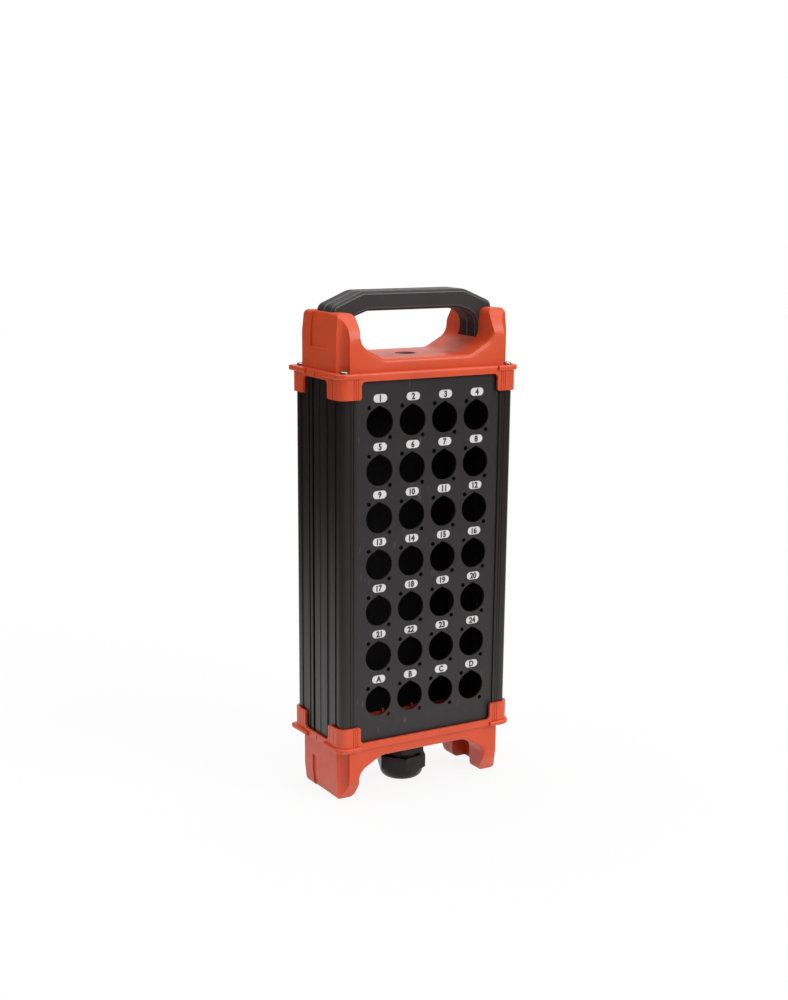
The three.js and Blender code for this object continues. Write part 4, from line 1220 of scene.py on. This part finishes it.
    def end_recess(self, sizes, side):
        """The shallow field on an end face, which follows the lean of that face."""
        near = settings().handle.end_x + sizes.pocket_clearance
        far = sizes.crown_half_width + OVERRUN
        top = self.tower_height() + OVERRUN
        sill = sizes.recess_height - sizes.sill_height
        field = prism(
            [
                (side * near, sizes.recess_height, 0.0),
                (side * (sizes.crown_half_width - sizes.recess_depth), sizes.recess_height, 0.0),
                (side * sizes.crown_half_width, sill, 0.0),
                (side * far, sill, 0.0),
                (side * far, top, 0.0),
                (side * near, top, 0.0),
            ][::side],
            around(0, sizes.recess_half_width),
            "Y",
        )
        behind = prism(
            inset(self.lengthwise_corners(sizes, 0.0), sizes.recess_depth),
            around(0, sizes.crown_half_depth),
            "Y",
        )
        move(behind, Matrix.Translation((0, 0, sizes.recess_depth)))
        return cut(field, behind)

    def panel_ribs(self, sizes):
        """Small ribs behind the foot of each panel."""
        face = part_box("rear_panel")[0].y - 2 * settings().profile.panel_clearance
        return [
            block(
                around(across * sizes.rib_pitch, sizes.rib_thickness / 2),
                on_side(side, face - sizes.rib_depth, face),
                (-sizes.plate_thickness - sizes.rib_height, -sizes.plate_thickness / 2),
            )
            for side in BOTH_SIDES
            for across in (-1, 0, 1)
        ]

    def cap(self, sizes, deck_hole_radius):
        """One moulding, crown upwards, with its rim face at height zero."""
        base = -sizes.plate_thickness
        outer = self.crown(sizes, 0.0, base, sizes.crown_edge, sizes.end_edge)
        hollow = self.crown(sizes, sizes.crown_wall, base - sizes.crown_wall - OVERRUN, 0.0, 0.0)
        walls = [
            common(self.pocket(sizes, side, sizes.pocket_wall), new_object("crown", outer.data.copy()))
            for side in BOTH_SIDES
        ]
        body = join(self.rim(sizes), outer)
        cut(body, hollow)
        join(body, *walls, *self.panel_ribs(sizes))
        cut(body, *(self.pocket(sizes, side, 0.0) for side in BOTH_SIDES))
        cut(body, *(self.end_recess(sizes, side) for side in BOTH_SIDES))
        screw_x, screw_y = screw_place()
        hole, plate = screw_hole_radius(), beyond((base, 0.0))
        screw_holes = at_corners(
            lambda side_x, side_y: post(side_x * screw_x, side_y * screw_y, hole, plate, SMALL_HOLE_SIDES)
        )
        deck_hole = post(0, 0, deck_hole_radius, beyond((0.0, sizes.deck_height)))
        return cut(body, *screw_holes, deck_hole)


# Handle
class STAGEBOX_OT_handle(Operator):
    """Make the carrying handle's two shells"""

    bl_idname = "stagebox.handle"
    bl_label = "Handle"
    bl_options = {"REGISTER", "UNDO"}

    def execute(self, context):
        sizes = settings().handle
        # The second finish goes on the rounded outward edges as a painted highlight.
        plastic, edge_highlight = finishes()["Handle plastic"], finishes()["Handle painted edge highlight"]
        face = cap_face("top_cap")
        for side, node in zip(BOTH_SIDES, ("handle_front_shell", "handle_rear_shell")):
            span = on_side(side, sizes.parting / 2, sizes.half_depth)
            edges = (sizes.parting_edge, sizes.bevel)[::side]
            shell = prism(self.outline(sizes), span, "Y", *edges, steps=1)
            move(shell, Matrix.Translation((0, 0, face)))
            name = node.replace("_shell", "_grip")
            finish_piece(shell, name, plastic, "handle_plastic", sizes.edge, nodes=[node], highlight_finish=edge_highlight)
        return {"FINISHED"}

    def outline(self, sizes):
        low = settings().cap.pocket_floor + sizes.seat_gap
        over_the_top = mirrored([
            (sizes.leg_inner_x, low, 0.0),
            (sizes.end_x, low, 0.0),
            (sizes.end_x, sizes.end_height, sizes.end_radius),
            (sizes.knee_x, sizes.top_height, sizes.knee_radius),
        ])
        under_the_grip = [
            (-sizes.leg_inner_x, sizes.leg_shoulder, sizes.leg_radius),
            (-sizes.grip_half_length, sizes.grip_underside, sizes.grip_radius),
            (sizes.grip_half_length, sizes.grip_underside, sizes.grip_radius),
            (sizes.leg_inner_x, sizes.leg_shoulder, sizes.leg_radius),
        ]
        return over_the_top + under_the_grip


# Cable gland
DOME_STEPS = 12


class STAGEBOX_OT_gland(Operator):
    """Make the cable gland"""

    bl_idname = "stagebox.gland"
    bl_label = "Cable gland"
    bl_options = {"REGISTER", "UNDO"}

    def execute(self, context):
        sizes = settings().gland
        thread_hole = sizes.thread_radius + sizes.thread_clearance
        plastic = finishes()["Gland plastic"], "gland_plastic"
        rubber = finishes()["Black rubber"], "seal_rubber"
        washer, insert = "gland_sealing_washer", "gland_seal_insert"
        insert_bore = self.seal_bore_radius()
        for node, name, piece, finish_and_slot, rides in (
            ("gland_body", "gland_entry", self.body(sizes), plastic, "housing"),
            ("gland_dome_nut", "gland_cap_nut", self.dome_nut(sizes), plastic, "gland_nut"),
            ("gland_lock_nut", "gland_inner_nut", self.lock_nut(sizes), plastic, "housing"),
            (washer, "gland_washer", self.ring(washer, thread_hole), rubber, "housing"),
            (insert, "gland_rubber_insert", self.ring(insert, insert_bore), rubber, "gland_seal"),
        ):
            finish_piece(piece, name, *finish_and_slot, sizes.edge, rides=rides, nodes=[node])
        return {"FINISHED"}

    def seal_bore_radius(self):
        """The smallest distance of the insert's points from its axis."""
        points = [vertex.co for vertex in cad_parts["gland_seal_insert"].data.vertices]
        return min(math.hypot(point.x, point.y) for point in points)

    def ring(self, node, bore):
        low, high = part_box(node)
        return turned([(bore, low.z), (high.x, low.z), (high.x, high.z), (bore, high.z)], hollow=True)

    def chamfered_hexagon(self, across_flats, turn, low, high, chamfer):
        """A hexagon whose corners are chamfered at both ends."""
        radius = corner_reach(across_flats)
        drop = chamfer / 2
        rounding = turned([
            (0, low),
            (radius - chamfer, low),
            (radius, low + drop),
            (radius, high - drop),
            (radius - chamfer, high),
            (0, high),
        ])
        return common(prism(hexagon(across_flats, turn), (low, high)), rounding)

    def body(self, sizes):
        low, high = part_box("gland_body")
        hex_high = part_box("gland_sealing_washer")[0].z - sizes.seat_gap
        hex_low = hex_high - sizes.hex_height
        body = post(0, 0, sizes.sleeve_radius, (low.z, hex_low + OVERRUN), ROUND_SIDES)
        join(
            body,
            self.chamfered_hexagon(sizes.hex_flats, 0.0, hex_low, hex_high, sizes.hex_chamfer),
            post(0, 0, sizes.thread_radius, (hex_high - OVERRUN, high.z), ROUND_SIDES),
        )
        cut(
            body,
            post(0, 0, sizes.bore_radius, beyond((low.z, high.z))),
            post(0, 0, sizes.sleeve_bore_radius, (low.z - OVERRUN, sizes.sleeve_bore_top)),
        )
        for i in range(sizes.slits // 2):
            slit = block(
                beyond(around(0, sizes.sleeve_radius)),
                around(0, sizes.slit_width / 2),
                (low.z - OVERRUN, low.z + sizes.slit_length),
            )
            cut(body, move(slit, Matrix.Rotation(FULL_TURN * i / sizes.slits, 4, "Z")))
        return body

    def lock_nut(self, sizes):
        low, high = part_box("gland_lock_nut")
        nut = self.chamfered_hexagon(high.y - low.y, 0.0, low.z, high.z, sizes.hex_chamfer)
        return cut(nut, post(0, 0, sizes.thread_radius + sizes.thread_clearance, beyond((low.z, high.z))))

    def dome_nut(self, sizes):
        low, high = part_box("gland_dome_nut")
        radius = corner_reach(sizes.dome_flats)
        bulge = sizes.dome_radius - sizes.dome_base_radius
        dome = [
            (
                sizes.dome_base_radius + bulge * math.sin(turn),
                low.z + sizes.dome_height * (1 - math.cos(turn)),
            )
            for turn in quarter_turns(DOME_STEPS)
        ]
        shoulder = (radius, low.z + sizes.dome_height + sizes.dome_shoulder)
        top = [(radius, high.z - sizes.nut_chamfer), (radius - sizes.nut_chamfer, high.z), (0, high.z)]
        nut = turned([(0, low.z), *dome, shoulder, *top])
        common(nut, prism(hexagon(sizes.dome_flats, sizes.dome_turn), beyond((low.z, high.z))))
        floor = low.z + sizes.dome_floor
        thread_radius = sizes.sleeve_radius + sizes.thread_clearance
        return cut(
            nut,
            post(0, 0, thread_radius, (floor, high.z + OVERRUN), ROUND_SIDES),
            post(0, 0, sizes.mouth_radius, beyond((low.z, floor)), ROUND_SIDES),
        )


# Screws
HEAD_STEPS = 8


class STAGEBOX_OT_screws(Operator):
    """Make the cap screws, and give the handle's hidden screws their finish"""

    bl_idname = "stagebox.screws"
    bl_label = "Screws"
    bl_options = {"REGISTER", "UNDO"}

    def execute(self, context):
        sizes = settings().screw
        steel = finishes()["Plated steel"]
        tree = corner_screw_tree()
        screw_x, screw_y = screw_place()
        for cap, seed, turn in (("top", 3, 0.0), ("bottom", 8, HALF_TURN)):
            corners = [f"{depth}_{side}" for depth in ("front", "rear") for side in ("left", "right")]
            nodes = [f"{cap}_screw_{corner}" for corner in corners]
            low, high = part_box(nodes[0])
            screw = self.screw(sizes)
            values = {
                "Screw": screw,
                "Spacing across": 2 * screw_x,
                "Spacing deep": 2 * screw_y,
                "Seed": seed,
                "Material": steel,
            }
            screws = grown(f"{cap}_cap_screws", tree, values)
            bpy.data.objects.remove(screw)
            seat = low.z + sizes.shank_length if cap == "top" else high.z - sizes.shank_length
            move(screws, Matrix.Translation((0, 0, seat)) @ Matrix.Rotation(turn, 4, "X"))
            finish_piece(screws, f"{cap}_cap_screws", steel, "screw_steel", sizes.edge, nodes=nodes)
        for node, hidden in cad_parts.items():
            if node.startswith("handle_screw"):
                hidden.data.materials.clear()
                hidden.data.materials.append(steel)
        return {"FINISHED"}

    def screw(self, sizes):
        """A pan head screw with a cross recess, its head's underside at height zero."""
        brim = sizes.brim_share * sizes.head_height
        crown = [
            (sizes.head_radius * math.cos(turn), brim + (sizes.head_height - brim) * math.sin(turn))
            for turn in quarter_turns(HEAD_STEPS)
        ]
        shank = [
            (0, -sizes.shank_length),
            (sizes.shank_radius / 2, -sizes.shank_length),
            (sizes.shank_radius, sizes.shank_radius - sizes.shank_length),
            (sizes.shank_radius, 0),
        ]
        screw = turned([*shank, (sizes.head_radius, 0), *crown], sides=SCREW_SIDES)
        recess = (sizes.head_height - sizes.slot_depth, sizes.head_height + OVERRUN)
        long, thin = around(0, sizes.slot_length / 2), around(0, sizes.slot_width / 2)
        return cut(screw, block(long, thin, recess), block(thin, long, recess))


# Studio
CAMERA_PLACE = (-0.6778, -1.1152, 0.4949)
CAMERA_RIGHT = (0.85478, -0.51889, 0.01000)
CAMERA_UP = (0.12814, 0.22967, 0.96480)
CAMERA_LENS = 58.02
CAMERA_SHIFT = (-0.0120, 0.1177)  # the object stands low in the photograph's frame
SENSOR_WIDTH = 36.0
LAMPS = (  # name, direction, how wide it looks, strength
    ("key", (0.40, -0.76, 0.51), math.radians(40), 1.7),
    ("top", (-0.05, 0.10, 1.0), math.radians(60), 1.65),
)
SOFT_LIGHT = 0.45
DIM_SURROUND = 0.03
SOFT_BOXES = (  # direction, how bright, and the cosines between which it comes up
    ((0.72, 0.69, 0.0), 1.0, (0.50, 0.94)),
    ((0.52, -0.85, 0.0), 0.10, (0.50, 0.95)),
    ((0.0, 0.0, 1.0), 1.0, (0.40, 0.90)),
)
WHITE = (1, 1, 1, 1)
FLOOR_REACH = 4.0
FLOOR_HEIGHTS = (-0.02, -0.0002)
FLOOR_WHITE_SHARE = 0.9  # the rest is the lit floor, which keeps the shadow
FLOOR_FADE = (0.2, 1.25)  # distances from the middle between which its reflection fades


class STAGEBOX_OT_studio(Operator):
    """Make the camera, the floor and the soft studio light"""

    bl_idname = "stagebox.studio"
    bl_label = "Studio"
    bl_options = {"REGISTER", "UNDO"}

    def execute(self, context):
        self.camera()
        self.floor()
        self.world()
        for lamp in LAMPS:
            self.lamp(*lamp)
        context.scene.view_settings.view_transform = "Standard"
        return {"FINISHED"}

    def camera(self):
        camera = new_object("camera", bpy.data.cameras.new("camera"))
        right = Vector(CAMERA_RIGHT).normalized()
        up = Vector(CAMERA_UP)
        up = (up - right * up.dot(right)).normalized()
        turn = Matrix((right, up, right.cross(up))).transposed()
        camera.matrix_world = Matrix.Translation(CAMERA_PLACE) @ turn.to_4x4()
        camera.data.lens = CAMERA_LENS
        camera.data.sensor_width = SENSOR_WIDTH
        camera.data.shift_x, camera.data.shift_y = CAMERA_SHIFT
        bpy.context.scene.camera = camera

    def lamp(self, name, towards, width, strength):
        """A far and wide lamp, so that the whole floor is lit alike."""
        light = bpy.data.lights.new(name, "SUN")
        light.angle = width
        light.energy = strength
        lamp = new_object(name, light)
        lamp.rotation_euler = Vector(towards).to_track_quat("Z", "Y").to_euler()

    def seen(self, tree):
        """Whether a ray comes from the camera, straight or through glass, and whether it was reflected."""
        path = tree.nodes.new("ShaderNodeLightPath").outputs
        straight = maths(tree, "MAXIMUM", path["Is Camera Ray"], path["Is Transmission Ray"])
        return straight, path["Is Glossy Ray"]

    def mixed(self, tree, share_of_second, first, second):
        return result(tree, "ShaderNodeMixShader", {0: share_of_second, 1: first, 2: second})

    def surround(self, tree, towards):
        """How bright the studio is in a direction where it is reflected: the brightest soft box there."""
        level = DIM_SURROUND
        for way, strength, cosines in SOFT_BOXES:
            facing = add_node(tree, "ShaderNodeVectorMath", {0: towards, 1: way}, operation="DOT_PRODUCT")
            cosine = facing.outputs["Value"]
            box = ranged(tree, cosine, cosines, (0.0, strength), interpolation_type="SMOOTHSTEP")
            level = maths(tree, "MAXIMUM", level, box)
        return level

    def floor(self):
        """A pale floor that looks white, keeps the shadow, and fades with distance in reflections."""
        reach = FLOOR_REACH
        corners = ((-reach, -reach), (reach, -reach), (reach, reach), (-reach, reach))
        floor = solid_from("floor", [[Vector((x, y, z)) for x, y in corners] for z in FLOOR_HEIGHTS])
        material = bpy.data.materials.new("Studio floor")
        material.use_nodes = True
        tree = material.node_tree
        tree.nodes.clear()
        straight, reflected = self.seen(tree)
        lit = result(tree, "ShaderNodeBsdfDiffuse", {"Color": (*settings().colour.floor, 1)})
        white = result(tree, "ShaderNodeEmission", {"Color": WHITE, "Strength": 1.0})
        plain = self.mixed(tree, maths(tree, "MULTIPLY", straight, FLOOR_WHITE_SHARE), lit, white)
        where = add_node(tree, "ShaderNodeTexCoord").outputs["Object"]
        far = add_node(tree, "ShaderNodeVectorMath", {0: where}, operation="LENGTH").outputs["Value"]
        towards = result(tree, "ShaderNodeVectorMath", {0: where}, operation="NORMALIZE")
        levels = (1.0, self.surround(tree, towards))
        fade = ranged(tree, far, FLOOR_FADE, levels, interpolation_type="SMOOTHSTEP")
        mirrored_floor = result(tree, "ShaderNodeEmission", {"Color": WHITE, "Strength": fade})
        both = self.mixed(tree, reflected, plain, mirrored_floor)
        add_node(tree, "ShaderNodeOutputMaterial", {"Surface": both})
        floor.data.materials.append(material)

    def world(self):
        """A soft even surround that looks white, and shows the soft boxes where it is reflected."""
        world = bpy.data.worlds.new("Studio")
        bpy.context.scene.world = world
        world.use_nodes = True
        tree = world.node_tree
        tree.nodes.clear()
        straight, reflected = self.seen(tree)
        towards = add_node(tree, "ShaderNodeTexCoord").outputs["Generated"]
        soft, white, mirror = (
            result(tree, "ShaderNodeBackground", {"Color": WHITE, "Strength": strength})
            for strength in (SOFT_LIGHT, 1.0, self.surround(tree, towards))
        )
        both = self.mixed(tree, reflected, self.mixed(tree, straight, soft, white), mirror)
        add_node(tree, "ShaderNodeOutputWorld", {"Surface": both})


class STAGEBOX_PT_housing(Panel):
    """Lists the pieces that can be made"""

    bl_idname = "STAGEBOX_PT_housing"
    bl_label = "Stage box housing"
    bl_space_type = "VIEW_3D"
    bl_region_type = "UI"
    bl_category = "Stage Box"

    def draw(self, context):
        for operator in OPERATORS:
            self.layout.operator(operator.bl_idname)


OPERATORS = (
    STAGEBOX_OT_studio,
    STAGEBOX_OT_panels,
    STAGEBOX_OT_labels,
    STAGEBOX_OT_profiles,
    STAGEBOX_OT_caps,
    STAGEBOX_OT_handle,
    STAGEBOX_OT_gland,
    STAGEBOX_OT_screws,
)
GROUPS = (
    PanelSizes,
    LabelSizes,
    ProfileSizes,
    CapSizes,
    HandleSizes,
    GlandSizes,
    ScrewSizes,
    Colours,
    HousingSettings,
)


def register():
    for each in (*GROUPS, *OPERATORS, STAGEBOX_PT_housing):
        bpy.utils.register_class(each)
    bpy.types.Scene.stage_box_housing = PointerProperty(type=HousingSettings)


def unregister():
    del bpy.types.Scene.stage_box_housing
    for each in reversed((*GROUPS, *OPERATORS, STAGEBOX_PT_housing)):
        bpy.utils.unregister_class(each)


def main():
    register()
    bpy.ops.stagebox.studio()
    bpy.ops.stagebox.panels()
    bpy.ops.stagebox.labels()
    bpy.ops.stagebox.profiles()
    bpy.ops.stagebox.caps()
    bpy.ops.stagebox.handle()
    bpy.ops.stagebox.gland()
    bpy.ops.stagebox.screws()


if __name__ == "__main__":
    main()
